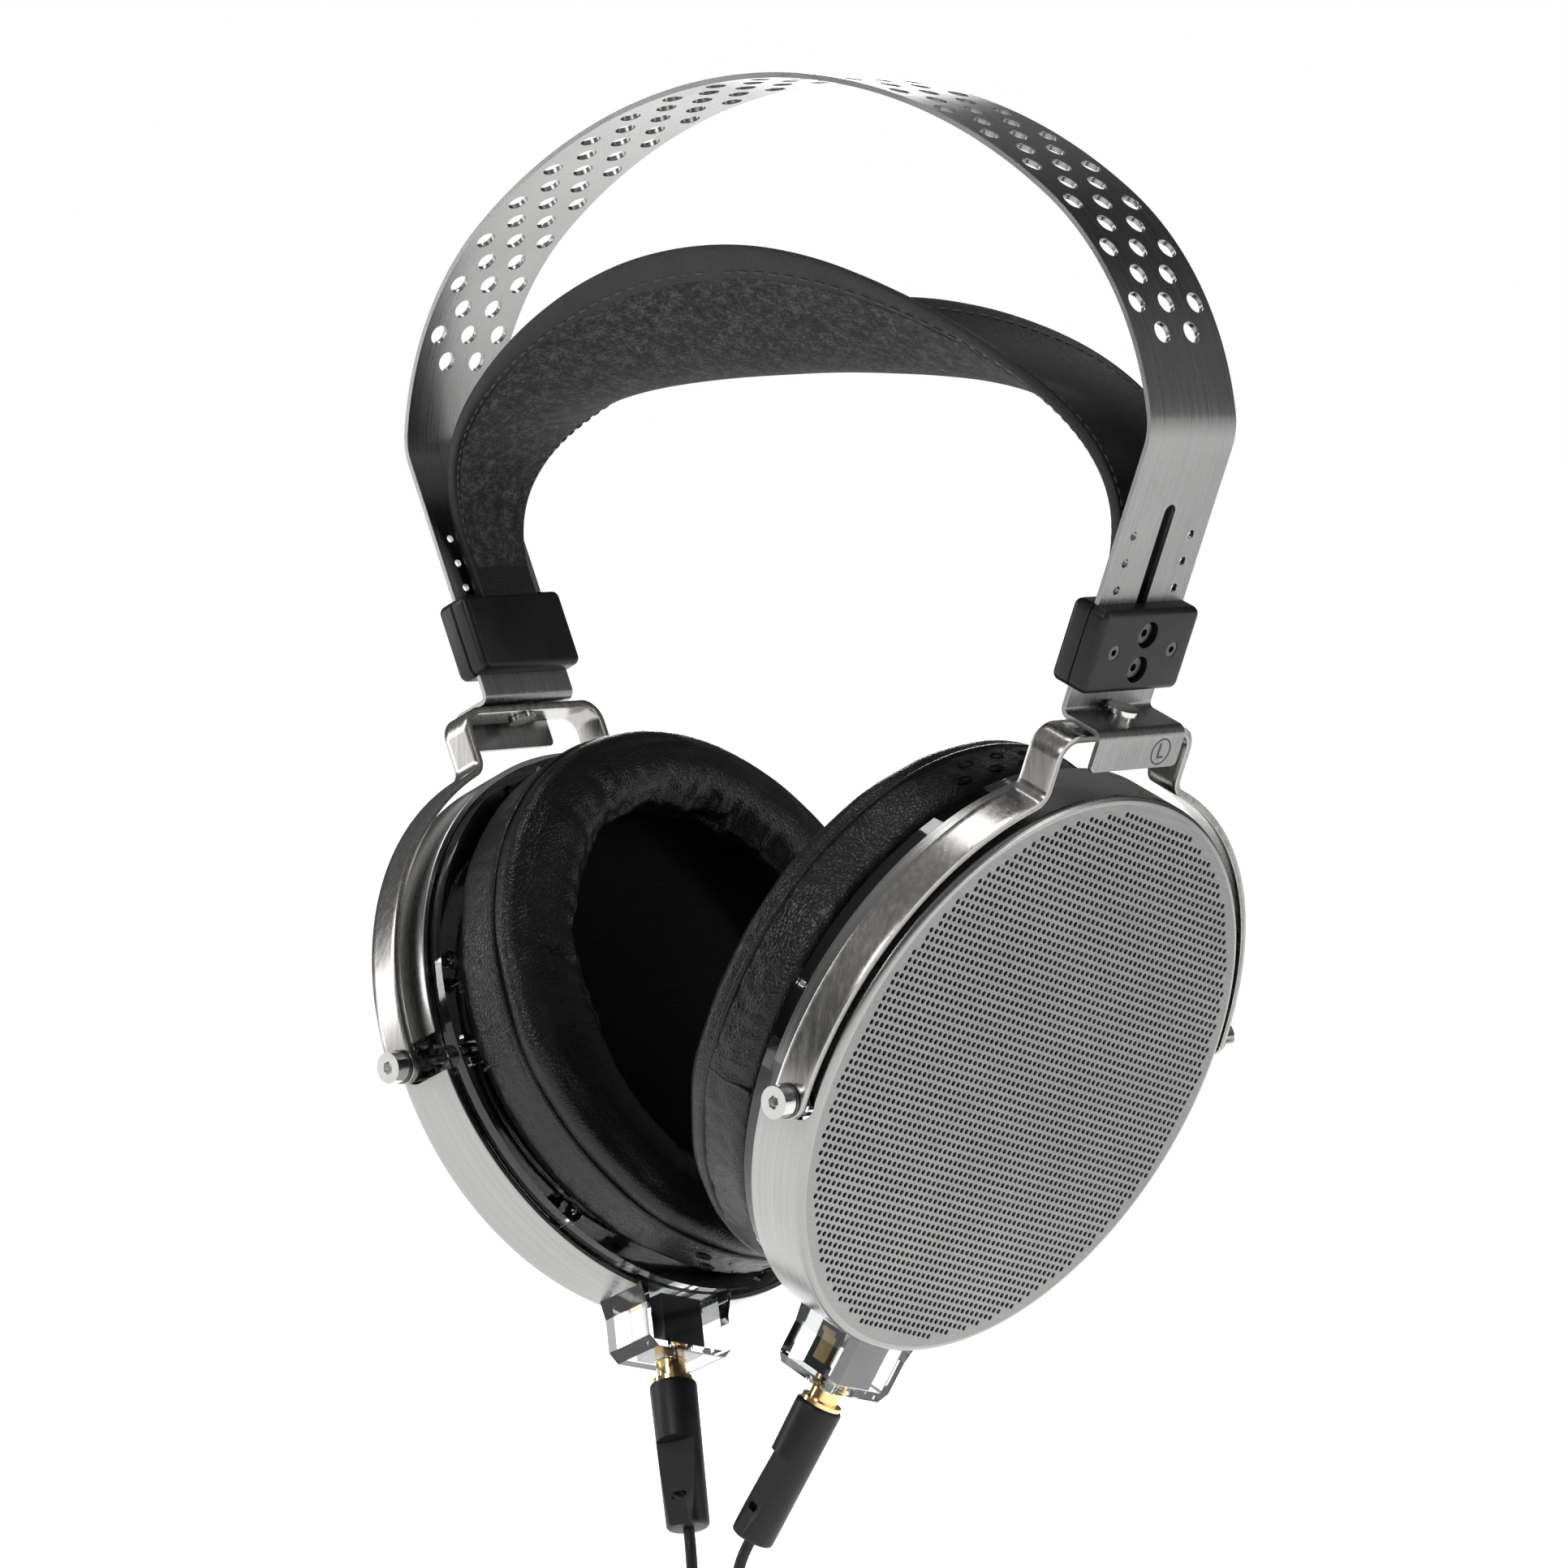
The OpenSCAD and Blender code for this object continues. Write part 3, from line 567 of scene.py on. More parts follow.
M_FELT = felt("strap_felt")
M_PAD = leather("pad_leather", (0.0035, 0.0035, 0.0036), 0.33, 1150, 0.00012)
M_THREAD = thread("stitch_thread")
M_PALE_THREAD = thread("strap_thread", (0.025, 0.025, 0.026))
M_CLOTH = cloth("black_cloth")
M_MAGNET = polished("nickel_magnet", (0.3, 0.3, 0.31), 0.35)
M_FILM = polished("driver_film", (0.6, 0.5, 0.3), 0.2)
# Black for the pad's vents: their dark middles are painted shade standing in for open holes
M_VENT_SHADE = cloth("vent_painted_shade")
M_MARK = moulded("etched_mark", (0.03, 0.03, 0.03), 0.6, 0.1)


# --------------------------------------------------------------------- camera

TARGET = Vector((-2.93, -2.71, -78.64)) * MM
VIEW_AZ = radians(42.79)
VIEW_EL = radians(3.47)
VIEW_ROLL = radians(-1.19)
VIEW_DISTANCE = 1.0402
LENS = 124.9


def make_camera():
    away = Vector((sin(VIEW_AZ) * cos(VIEW_EL), -cos(VIEW_AZ) * cos(VIEW_EL), sin(VIEW_EL)))
    right = Vector((cos(VIEW_AZ), sin(VIEW_AZ), 0))
    up = right.cross(-away)
    x = cos(VIEW_ROLL) * right + sin(VIEW_ROLL) * up
    y = -sin(VIEW_ROLL) * right + cos(VIEW_ROLL) * up
    data = bpy.data.cameras.new("camera")
    data.sensor_width = 36
    data.lens = LENS
    data.clip_start = 0.01
    camera = bpy.data.objects.new("camera", data)
    m = Matrix((x, y, away)).transposed().to_4x4()
    m.translation = TARGET + away * VIEW_DISTANCE
    camera.matrix_world = m
    bpy.context.collection.objects.link(camera)
    bpy.context.scene.camera = camera


make_camera()


# --------------------------------------------------------------------- plugs

JACK_X = -3.1 * MM
PLUG_TOP = 73 * MM
SLEEVE_LEN = 29 * MM


def sleeve():
    """A plug's moulded sleeve: round at the top, cut flat towards the cord, with a slot for strain relief."""
    top_r, end_r, edge = 4.6 * MM, 4.2 * MM, 0.8 * MM
    arc = [pi / 2 * i / 4 for i in range(5)]
    profile = [(0.0, 0.4 * MM)]
    profile += [(-edge * (1 - sin(a)), top_r - edge * (1 - cos(a))) for a in reversed(arc)]
    profile += [(-SLEEVE_LEN + edge * (1 - sin(a)), end_r - edge * (1 - cos(a))) for a in arc]
    profile += [(-SLEEVE_LEN, 0.4 * MM)]
    obj = lathe("sleeve", profile, 64)
    obj.data.transform(Matrix.Rotation(-pi / 2, 4, "Y"))
    fix_normals(obj)
    flat = block("c", (-9 * MM, -9 * MM, -SLEEVE_LEN - 2 * MM), (9 * MM, -3.5 * MM, -SLEEVE_LEN + 17 * MM))
    flat.data.transform(Matrix.Translation((0, 0, -SLEEVE_LEN)) @ Matrix.Rotation(radians(-5.5), 4, "X")
                        @ Matrix.Translation((0, 0, SLEEVE_LEN)))
    slot_z, slot_r, slot_x, through = -SLEEVE_LEN + 6 * MM, 0.75 * MM, 0.9 * MM, 8 * MM
    ends = [rod("c", (x, -through, slot_z), (x, through, slot_z), slot_r, 24) for x in (-slot_x, slot_x)]
    bar = block("c", (-slot_x, -through, slot_z - slot_r), (slot_x, through, slot_z + slot_r))
    cut(obj, [flat, *ends, bar])
    obj.data.transform(Matrix.Translation((JACK_X, 0, -PLUG_TOP)) @ Matrix.Rotation(radians(-25), 4, "Z"))
    return obj


PLUGS = both_sides("plug_cover", sleeve, JACK, "cup_{}", ["plug_sleeve_{}"], M_SLEEVE)


# ---------------------------------------------------------------------- cords

LEAD_D = 2.2 * MM
CORD_D = 3.0 * MM
UPPER_ROUTE = [(8.1, -28.1, -219.1), (7, -28.9, -221.8), (6.2, -29.5, -224.6), (5.7, -29.8, -228),
               (5.3, -30, -233), (4.9, -30, -240), (4.4, -30, -248), (3.8, -30, -256)]
LOWER_ROUTE = [(3.8, -30, -256.1), (3.2, -30, -264), (2.6, -30, -272), (2, -30, -280),
               (1.7, -30, -286), (1.6, -30, -290)]
NECK_TOP = Vector((0, -30, -304.2)) * MM
COIL_C = Vector((-18, -30, -325)) * MM
COIL_R = 18 * MM
TAIL_END = Vector((-36, -30, -347)) * MM
COIL_TURNS = 10.22


def make_leads():
    for (side, sign), plug in zip(SIDES, PLUGS):
        for part, route, bodies in (("upper", UPPER_ROUTE, ("cup_{}", "yoke_{}")),
                                    ("lower", LOWER_ROUTE, ("yoke_{}", "band"))):
            path = smooth_route([Vector((sign * x, y, z)) * MM for x, y, z in route], 1.6 * MM)
            obj = tube_mesh(f"lead_{part}_{side}", path, LEAD_D / 2)
            obj.data.materials.append(M_CORD)
            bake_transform(obj)
            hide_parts(f"lead_{part}_{side}")


def coil_route():
    """Round and round the coil; make_main_cord adds the way down into it and out to the plug. Turns sit in
    rings a diameter apart.
    """
    pitch = CORD_D * 1.02
    lanes = [(0, 0), (1, 0), (0.5, 0.87), (-0.5, 0.87), (1.5, 0.87), (2, 0), (1.5, -0.87),
             (0.5, -0.87), (-0.5, -0.87), (-1, 0), (-1.5, -0.87)]
    points = []
    steps = 28
    total = int(COIL_TURNS * steps)
    for i in range(total + 1):
        turn = i / steps
        lane = min(int(turn), len(lanes) - 1)
        after = min(lane + 1, len(lanes) - 1)
        move = max(0.0, (turn - lane - 0.7) / 0.3)
        move = move * move * (3 - 2 * move)
        y = lanes[lane][0] * (1 - move) + lanes[after][0] * move
        r = lanes[lane][1] * (1 - move) + lanes[after][1] * move
        angle = -2 * pi * turn
        radius = COIL_R + r * pitch
        points.append(COIL_C + Vector((radius * cos(angle), y * pitch, radius * sin(angle))))
    return points


def make_main_cord():
    turns = coil_route()
    lead_in = [NECK_TOP, NECK_TOP + Vector((0, 0, -5)) * MM, NECK_TOP + Vector((0, 0, -12)) * MM]
    # Off the coil's front at the bottom, over its outer turns and down into the plug
    lead_out = [Vector(p) * MM for p in ((-20, -35.6, -341), (-25, -36.2, -341.3), (-29.5, -35.2, -341.6),
                                         (-33.2, -33.2, -342.6), (-35.5, -31, -344.8))] + [TAIL_END]
    path = smooth_route(lead_in + turns + lead_out, 2.2 * MM)
    obj = tube_mesh("main_cord", path, CORD_D / 2, 12)
    obj.data.materials.append(M_CORD)
    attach(obj, "band")
    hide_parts("cord_neck", "cord_coil", "cord_tail")


make_leads()
make_main_cord()


# ----------------------------------------------------------------- headband

STRIP_W = 24.4 * MM
STRIP_T = 1.0 * MM
ARCH_HALF_W = BEND.x
ARCH_RISE = 72.3 * MM
SHOULDER_R = 60 * MM
BEND_R = 12 * MM
ARCH_Z = BEND.z - 3.9 * MM
FOLD_R = 1.5 * MM
SHELF_S = 54.8 * MM
LIP_X = 9.6 * MM
LIP_S = 62.1 * MM
PERF_R = 2.0 * MM
PERF_PITCH = 5.85 * MM
PERF_ROWS = 19


def strip_segments():
    """The left half of the strip from its top, as (length, curvature); positive turns down and in."""
    sx = ARCH_HALF_W - SHOULDER_R
    top_r = (sx ** 2 + ARCH_RISE ** 2 - SHOULDER_R ** 2) / (2 * (ARCH_RISE - SHOULDER_R))
    top_c = Vector((0, ARCH_Z + ARCH_RISE - top_r))
    shoulder_c = Vector((sx, ARCH_Z))
    top_end = atan2(shoulder_c.x - top_c.x, shoulder_c.y - top_c.y)
    down = Vector((-sin(TILT), -cos(TILT)))
    out = Vector((cos(TILT), -sin(TILT)))
    bend = Vector((BEND.x, BEND.z))
    rel = bend - BEND_R * out - shoulder_c
    along = -rel.dot(down) - sqrt(rel.dot(down) ** 2 - rel.dot(rel) + (SHOULDER_R - BEND_R) ** 2)
    bend_c = shoulder_c + rel + along * down
    shoulder_end = atan2(bend_c.x - shoulder_c.x, bend_c.y - shoulder_c.y)
    straight = SHELF_S - FOLD_R - along
    return [(top_r * top_end, 1 / top_r), (SHOULDER_R * (shoulder_end - top_end), 1 / SHOULDER_R),
            (BEND_R * (pi / 2 + TILT - shoulder_end), 1 / BEND_R), (straight, 0),
            (FOLD_R * pi / 2, -1 / FOLD_R), (LIP_X - 2 * FOLD_R, 0), (FOLD_R * pi / 2, 1 / FOLD_R),
            (LIP_S - SHELF_S - FOLD_R, 0)], along


SEGMENTS, BEND_ALONG = strip_segments()
STRIP_HALF = sum(length for length, _ in SEGMENTS)
STRAIGHT_FROM = sum(length for length, _ in SEGMENTS[:3])


def strip_point(s):
    """Place and outward normal at a length s from the top, in the XZ plane."""
    sign = 1 if s >= 0 else -1
    left = abs(s)
    pos = Vector((0, ARCH_Z + ARCH_RISE))
    angle = 0.0
    for length, k in SEGMENTS:
        step = min(left, length)
        if k:
            a2 = angle + k * step
            pos += Vector((sin(a2) - sin(angle), cos(a2) - cos(angle))) / k
            angle = a2
        else:
            pos += step * Vector((cos(angle), -sin(angle)))
        left -= step
        if left <= 0:
            break
    normal = Vector((sin(angle), cos(angle)))
    return Vector((sign * pos.x, pos.y)), Vector((sign * normal.x, normal.y))


def strip_holes():
    """(centre s, centre y, radius, extra straight length) of every hole, in the flat."""
    holes = []
    for k in range(-PERF_ROWS, PERF_ROWS + 1):
        ys = (-8.3, 0, 8.3) if k % 2 == 0 else (-4.15, 4.15)
        holes += [(k * PERF_PITCH, y * MM, PERF_R, 0) for y in ys]
    for sign in (1, -1):
        for i in range(5):
            s = STRAIGHT_FROM - BEND_ALONG + (20.1 + 5.3 * i) * MM
            holes += [(sign * s, y * MM, 0.8 * MM, 0) for y in (-8.2, 8.2)]
        s0 = STRAIGHT_FROM - BEND_ALONG + (14.2 + 1.5) * MM
        s1 = STRAIGHT_FROM - BEND_ALONG + (46.6 - 1.5) * MM
        holes.append((sign * (s0 + s1) / 2, 0, 1.5 * MM, s1 - s0))
    return holes


def hole_loop(s, y, r, extra, n=28):
    pts = []
    for i in range(n):
        a = 2 * pi * (i + 0.5) / n
        pts.append((s + r * cos(a) + (extra / 2 if cos(a) > 0 else -extra / 2), y + r * sin(a)))
    return pts


def headband():
    half = STRIP_W / 2
    corner = 1.2 * MM
    coords, edges = [], []

    def loop(pts):
        start = len(coords)
        coords.extend(pts)
        edges.extend((start + i, start + (i + 1) % len(pts)) for i in range(len(pts)))

    stations = [0.0]
    for length, k in SEGMENTS:
        n = max(2, ceil(length / (1.9 * MM)), ceil(abs(k) * length / radians(11)))
        stations += [stations[-1] + length / n * (i + 1) for i in range(n)]
    stations = [-s for s in reversed(stations[1:])] + stations
    inner = stations[1:-1]
    rim = [(s, -half) for s in inner]
    end = STRIP_HALF - corner
    arc = [pi / 2 * i / 5 for i in range(6)]
    rim += [(end + corner * sin(a), -half + corner - corner * cos(a)) for a in arc]
    rim += [(end + corner * cos(a), half - corner + corner * sin(a)) for a in arc]
    rim += [(s, half) for s in reversed(inner)]
    rim += [(-end - corner * sin(a), half - corner + corner * cos(a)) for a in arc]
    rim += [(-end - corner * cos(a), -half + corner - corner * sin(a)) for a in arc]
    rim = [p for i, p in enumerate(rim) if (Vector(p) - Vector(rim[i - 1])).length > 1e-5
           and abs(p[0]) <= STRIP_HALF + 1e-9]
    rim = [p for p in rim if abs(p[0]) <= end or abs(p[1]) < half - 1e-9]
    loop(rim)
    holes = strip_holes()
    for hole in holes:
        loop(hole_loop(*hole))

    def clear_of_holes(s, y, gap=0.45 * MM):
        for hs, hy, r, extra in holes:
            ds = max(0, abs(s - hs) - extra / 2)
            if ds * ds + (y - hy) ** 2 < (r + gap) ** 2:
                return False
        return True

    for s in inner:
        for i in range(-5, 6):
            y = i * half / 6
            if abs(s) < end - 0.5 * MM and clear_of_holes(s, y):
                coords.append((s, y))
    pts = [Vector(p) for p in coords]
    flat, _, tris, _, _, _ = delaunay_2d_cdt(pts, edges, [], 0, 1e-7)

    def solid(tri):
        c = sum((flat[i] for i in tri), Vector((0, 0))) / 3
        if abs(c.y) > half or abs(c.x) > STRIP_HALF:
            return False
        over_s, over_y = abs(c.x) - end, abs(c.y) - (half - corner)
        if over_s > 0 and over_y > 0 and over_s ** 2 + over_y ** 2 > corner ** 2 * 0.97:
            return False
        for hs, hy, r, extra in holes:
            ds = max(0, abs(c.x - hs) - extra / 2)
            if ds * ds + (c.y - hy) ** 2 < (r * 0.985) ** 2:
                return False
        return True

    faces = [tri for tri in tris if solid(tri)]
    bm = bmesh.new()
    verts = []
    for p in flat:
        pos, normal = strip_point(p.x)
        verts.append(bm.verts.new((pos.x + normal.x * STRIP_T / 2, p.y, pos.y + normal.y * STRIP_T / 2)))
    for f in faces:
        bm.faces.new([verts[i] for i in f])
    bmesh.ops.delete(bm, geom=[v for v in bm.verts if not v.link_faces], context="VERTS")
    bmesh.ops.recalc_face_normals(bm, faces=bm.faces)
    mesh = bpy.data.meshes.new("headband")
    bm.to_mesh(mesh)
    bm.free()
    obj = bpy.data.objects.new("headband", mesh)
    bpy.context.collection.objects.link(obj)
    mod = obj.modifiers.new("thick", "SOLIDIFY")
    mod.thickness = STRIP_T
    mod.offset = -1 if mean_normal_up(mesh) else 1
    mod.use_even_offset = True
    apply_modifiers(obj)
    fix_normals(obj)
    bevel(obj, 0.14 * MM, 1, 60)
    obj.data.materials.clear()
    obj.data.materials.append(M_BAND)
    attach(obj, "band")
    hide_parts("headband_spring")


def mean_normal_up(mesh):
    return sum(p.normal.z for p in mesh.polygons if abs(p.center.x) < 30 * MM) > 0


headband()


def side_mark(side, sign):
    """A plain side letter in a ring, set into the bracket's lip."""
    curve = bpy.data.curves.new("mark_" + side, "FONT")
    curve.body = "L" if sign > 0 else "R"
    curve.size = 4.4 * MM
    curve.align_x = "CENTER"
    curve.align_y = "CENTER"
    curve.extrude = 0.03 * MM
    text = bpy.data.objects.new("mark_text", curve)
    bpy.context.collection.objects.link(text)
    mesh = bpy.data.meshes.new_from_object(text)
    bpy.data.objects.remove(text)
    letter = bpy.data.objects.new("letter", mesh)
    bpy.context.collection.objects.link(letter)
    ring = lathe("mark_ring", [(-0.03 * MM, 2.35 * MM), (0.03 * MM, 2.35 * MM),
                               (0.03 * MM, 2.65 * MM), (-0.03 * MM, 2.65 * MM)], 64)
    face = Matrix(((0, 0, 1, 0), (1, 0, 0, 0), (0, 1, 0, 0), (0, 0, 0, 1)))
    letter.data.transform(face)
    both = join("side_mark_" + side, [letter, ring])
    if sign < 0:
        both.data.transform(Matrix.Scale(-1, 4, (0, 1, 0)))
        both.data.flip_normals()
    both.data.transform(HANG @ Matrix.Translation((LIP_X + STRIP_T / 2, 6.5 * MM if sign > 0 else -6.5 * MM,
                                                   -58.9 * MM)))
    if sign < 0:
        mirror_mesh(both)
    both.data.materials.clear()
    both.data.materials.append(M_MARK)
    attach(both, "band")


for side_name, side_sign in SIDES:
    side_mark(side_name, side_sign)


# -------------------------------------------------------------------- strap

STRAP_T = 1.2 * MM
STRAP_HALF_W = 24 * MM
STRAP_END_HALF_W = 7.5 * MM
STRAP_SADDLE = 16.6 * MM
STRAP_LEAN = 4.6 * MM
STRAP_FROM = HANG @ Vector((-2.6 * MM, 0, (-41.4 + 8.1 + 3.9) * MM))
STRAP_PULL_UP = 38 * MM
STRAP_PULL_IN = 50 * MM
STRAP_TUCK = 0.055
STRAP_EDGE = 0.97
FELT_EDGE = 0.88
FELT_TO = 0.985
STITCH_LINE = 0.925


def strap_mid(u):
    """Middle line of the strap; beyond |u| = 1 it runs straight on into its block."""
    a = Vector((STRAP_FROM.x, STRAP_FROM.z))
    up = Vector((sin(TILT), cos(TILT)))
    if abs(u) > 1:
        q = a - up * (abs(u) - 1) * 120 * MM
    else:
        t = 1 - abs(u)
        b, c, d = a + up * STRAP_PULL_UP, Vector((STRAP_PULL_IN, STRAP_T)), Vector((0, STRAP_T))
        q = (1 - t) ** 3 * a + 3 * (1 - t) ** 2 * t * b + 3 * (1 - t) * t * t * c + t ** 3 * d
    return Vector((math.copysign(q.x, u) if u else 0.0, q.y))


def strap_point(u, v, o):
    d = strap_mid(u + 0.004) - strap_mid(u - 0.004)
    n = Vector((-d.y, d.x)).normalized()
    c = max(0.0, cos(pi / 2 * min(abs(u), 0.999)))
    w = STRAP_END_HALF_W + (STRAP_HALF_W - STRAP_END_HALF_W) * c ** 1.4
    side = v * w / STRAP_HALF_W
    rise = (STRAP_SADDLE * side * side - STRAP_LEAN * side) * c * c + o
    m = strap_mid(u)
    ripple = 0.25 * MM * noise.noise(Vector((u * 6, v * 1.5, 3.1))) * c
    rise += ripple
    return Vector((m.x + n.x * rise, v * w, m.y + n.y * rise))


def strap_sheet(name, u0, u1, v_edge, low, high, nu, nv):
    """A closed sheet between offsets low and high with rounded long edges."""
    r = (high - low) / 2
    mid = (high + low) / 2
    rim = [pi / 2 * i / 3 for i in range(4)]
    section = [(v_edge * (2 * j / nv - 1), high) for j in range(nv + 1)]
    edge_v = r / STRAP_HALF_W
    section += [(v_edge + edge_v * sin(a), mid + r * cos(a)) for a in rim[1:]]
    section += [(v_edge + edge_v * cos(a), mid - r * sin(a)) for a in rim[1:]]
    section += [(-v_edge * (2 * j / nv - 1), low) for j in range(1, nv + 1)]
    section += [(-v_edge - edge_v * sin(a), mid - r * cos(a)) for a in rim[1:]]
    section += [(-v_edge - edge_v * cos(a), mid + r * sin(a)) for a in rim[1:-1]]
    count = len(section)
    verts = [strap_point(u0 + (u1 - u0) * i / nu, v, o) for i in range(nu + 1) for v, o in section]
    faces = ring_faces(nu + 1, count)
    faces += [tuple(range(count)), tuple(reversed(range(nu * count, (nu + 1) * count)))]
    obj = new_object(name, verts, faces, smooth=False)
    fix_normals(obj)
    return obj


def strap_stitches(name, sign):
    """Rows of stitches inside the strap's edges, on both faces."""
    parts = []
    u = 0.015
    while u < 0.93:
        for v in (-STITCH_LINE, STITCH_LINE):
            for o in (STRAP_T + 0.06 * MM, -STRAP_T - 0.06 * MM):
                a, b = strap_point(u, v, o), strap_point(u + 0.016, v, o)
                if sign < 0:
                    a, b = flip_x(a), flip_x(b)
                mid = (a + b) / 2
                parts.append((a, mid, b))
        u += 0.0245
    verts, faces = [], []
    for a, mid, b in parts:
        d = (b - a).normalized()
        side = d.cross(Vector((0, 1, 0))).normalized()
        other = d.cross(side)
        base = len(verts)
        for p, r in ((a, 0.08), (a.lerp(b, 0.2), 0.24), (a.lerp(b, 0.8), 0.24), (b, 0.08)):
            verts += [p + r * MM * (cos(pi / 3 * k) * side + sin(pi / 3 * k) * other) for k in range(6)]
        faces += stitch_faces(base)
    return new_object(name, verts, faces)


def make_strap():
    for side, sign in SIDES:
        body = strap_sheet("strap_leather_" + side, 0, sign * (1 + STRAP_TUCK), STRAP_EDGE,
                           -STRAP_T, STRAP_T, 110, 30)
        body.data.materials.append(M_STRAP)
        lining = strap_sheet("strap_felt_" + side, 0, sign * FELT_TO, FELT_EDGE,
                             -STRAP_T - 0.22 * MM, -STRAP_T + 0.1 * MM, 100, 24)
        lining.data.materials.append(M_FELT)
        threads = strap_stitches("strap_stitches_" + side, sign)
        threads.data.materials.append(M_PALE_THREAD)
        for obj, slot in ((body, "strap_leather"), (lining, "strap_felt"), (threads, "strap_leather")):
            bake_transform(obj)
        if sign > 0:
            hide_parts("strap_outer")
            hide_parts("strap_lining")


make_strap()


# ------------------------------------------------------------- slider blocks

BLOCK_W = 27.2 * MM
BLOCK_H = 16.2 * MM
BLOCK_T = 8.4 * MM
BLOCK_Z = -41.4 * MM
CLAMP_Z = (-38.1 * MM, -44.9 * MM)
PLUNGER_Z = -41.3 * MM
PLUNGER_Y = 8.2 * MM


def rounded_half(x0, x1, outer_edge):
    """One half of a slider block: a plate with round corners and a soft outer edge."""
    corner = 1.7 * MM
    edge = 1.3 * MM
    small = 0.25 * MM
    flat_x, face_x = (x0, x1) if outer_edge > 0 else (x1, x0)
    step = 1 if outer_edge > 0 else -1
    rings = [(flat_x, small), (flat_x + step * small, 0)]
    rings += [(face_x - step * edge * (1 - sin(a)), edge * (1 - cos(a)))
              for a in [pi / 2 * i / 5 for i in range(6)]]
    verts = []
    n = 6
    for x, inset in rings:
        for qy, qz, a0 in ((1, 1, 0), (-1, 1, pi / 2), (-1, -1, pi), (1, -1, 1.5 * pi)):
            for i in range(n + 1):
                a = a0 + pi / 2 * i / n
                r = max(corner - inset, 0.3 * MM)
                cy = qy * (BLOCK_W / 2 - inset - r)
                cz = BLOCK_Z + qz * (BLOCK_H / 2 - inset - r)
                verts.append((x, cy + r * cos(a), cz + r * sin(a)))
    count = 4 * (n + 1)
    faces = ring_faces(len(rings), count)
    faces += [tuple(range(count)), tuple(range((len(rings) - 1) * count, len(rings) * count))]
    obj = new_object("block", verts, faces, smooth=False)
    fix_normals(obj)
    return obj


def band_pocket(sign):
    x0, x1 = sorted((-sign * MM, sign * (STRIP_T / 2 + 0.12 * MM)))
    half = STRIP_W / 2 + 0.15 * MM
    return block("c", (x0, -half, BLOCK_Z - BLOCK_H), (x1, half, BLOCK_Z + BLOCK_H))


def outer_half():
    obj = rounded_half(0.1 * MM, BLOCK_T / 2, 1)
    cutters = [band_pocket(1)]
    cutters += [rod("c", (BLOCK_T / 2 - 2.6 * MM, 0, z), (BLOCK_T, 0, z), 2.6 * MM) for z in CLAMP_Z]
    cutters += [rod("c", (BLOCK_T / 2 - 1.2 * MM, y, PLUNGER_Z), (BLOCK_T, y, PLUNGER_Z), 1.5 * MM)
                for y in (-PLUNGER_Y, PLUNGER_Y)]
    cut(obj, cutters)
    return obj


def inner_half():
    obj = rounded_half(-BLOCK_T / 2, -0.1 * MM, -1)
    slot_from = BLOCK_Z + BLOCK_H / 2 - 3.5 * MM
    slot = block("c", (-4.1 * MM, -8.6 * MM, slot_from), (-1.1 * MM, 8.6 * MM, -20 * MM))
    cut(obj, [band_pocket(-1), slot])
    return obj


both_sides("block_outer", outer_half, HANG, "slider_{}", ["slider_outer_half_{}"], M_BLACK)
both_sides("block_inner", inner_half, HANG, "slider_{}", ["slider_inner_half_{}"], M_BLACK)


# --------------------------------------------------------------------- yokes

YOKE_W = 7.0 * MM
YOKE_T = 1.4 * MM
ARM_R = 60 * MM
DROP_Y = 18.5 * MM
YOKE_FOLD = 4.0 * MM
FOOT_FOLD = 3.2 * MM
YOKE_TOP = PIVOT_DROP - (54.8 + 0.5 + 0.5 + 0.05 + 0.7) * MM


def yoke_path():
    """The yoke's middle line from its crown to below the pivot, as (y, z)."""
    pts = [(DROP_Y * i / 8, YOKE_TOP) for i in range(8) if DROP_Y * i / 8 < DROP_Y - YOKE_FOLD]
    for i in range(9):
        a = pi / 2 * i / 8
        pts.append((DROP_Y - YOKE_FOLD + YOKE_FOLD * sin(a), YOKE_TOP - YOKE_FOLD + YOKE_FOLD * cos(a)))
    cy = DROP_Y + FOOT_FOLD
    cz = sqrt((ARM_R + FOOT_FOLD) ** 2 - cy ** 2)
    end = atan2(cy, cz)
    for i in range(9):
        a = -pi / 2 - (pi / 2 - end) * i / 8
        pts.append((cy + FOOT_FOLD * sin(a), cz + FOOT_FOLD * cos(a)))
    for i in range(1, 41):
        a = end + (pi / 2 - end) * i / 40
        pts.append((ARM_R * sin(a), ARM_R * cos(a)))
    for i in range(1, 9):
        pts.append((ARM_R, -YOKE_W / 2 * sin(pi / 2 * i / 8)))
    return pts


def yoke():
    right = yoke_path()
    path = [Vector((-y, z)) for y, z in reversed(right[1:])] + [Vector(p) for p in right]
    nx = 6
    verts = []
    for i, p in enumerate(path):
        d = (path[min(i + 1, len(path) - 1)] - path[max(i - 1, 0)]).normalized()
        n = Vector((-d.y, d.x))
        if p.y < 0:
            n = Vector((math.copysign(1, p.x), 0))
            half = sqrt(max((YOKE_W / 2) ** 2 - p.y ** 2, (0.6 * MM) ** 2))
        else:
            half = YOKE_W / 2
        ring = [(half * (2 * k / nx - 1), YOKE_T / 2) for k in range(nx + 1)]
        ring += [(-half * (2 * k / nx - 1), -YOKE_T / 2) for k in range(nx + 1)]
        verts += [(x, p.x + n.x * o, p.y + n.y * o) for x, o in ring]
    count = 2 * (nx + 1)
    faces = ring_faces(len(path), count)
    faces += [tuple(range(count)), tuple(range((len(path) - 1) * count, len(path) * count))]
    obj = new_object("yoke", verts, faces, smooth=False)
    fix_normals(obj)
    bevel(obj, 0.22 * MM, 2, 50)
    return obj


both_sides("yoke_strap", yoke, CUP, "yoke_{}", ["yoke_{}"], M_YOKE)


# ---------------------------------------------------------------------- cups

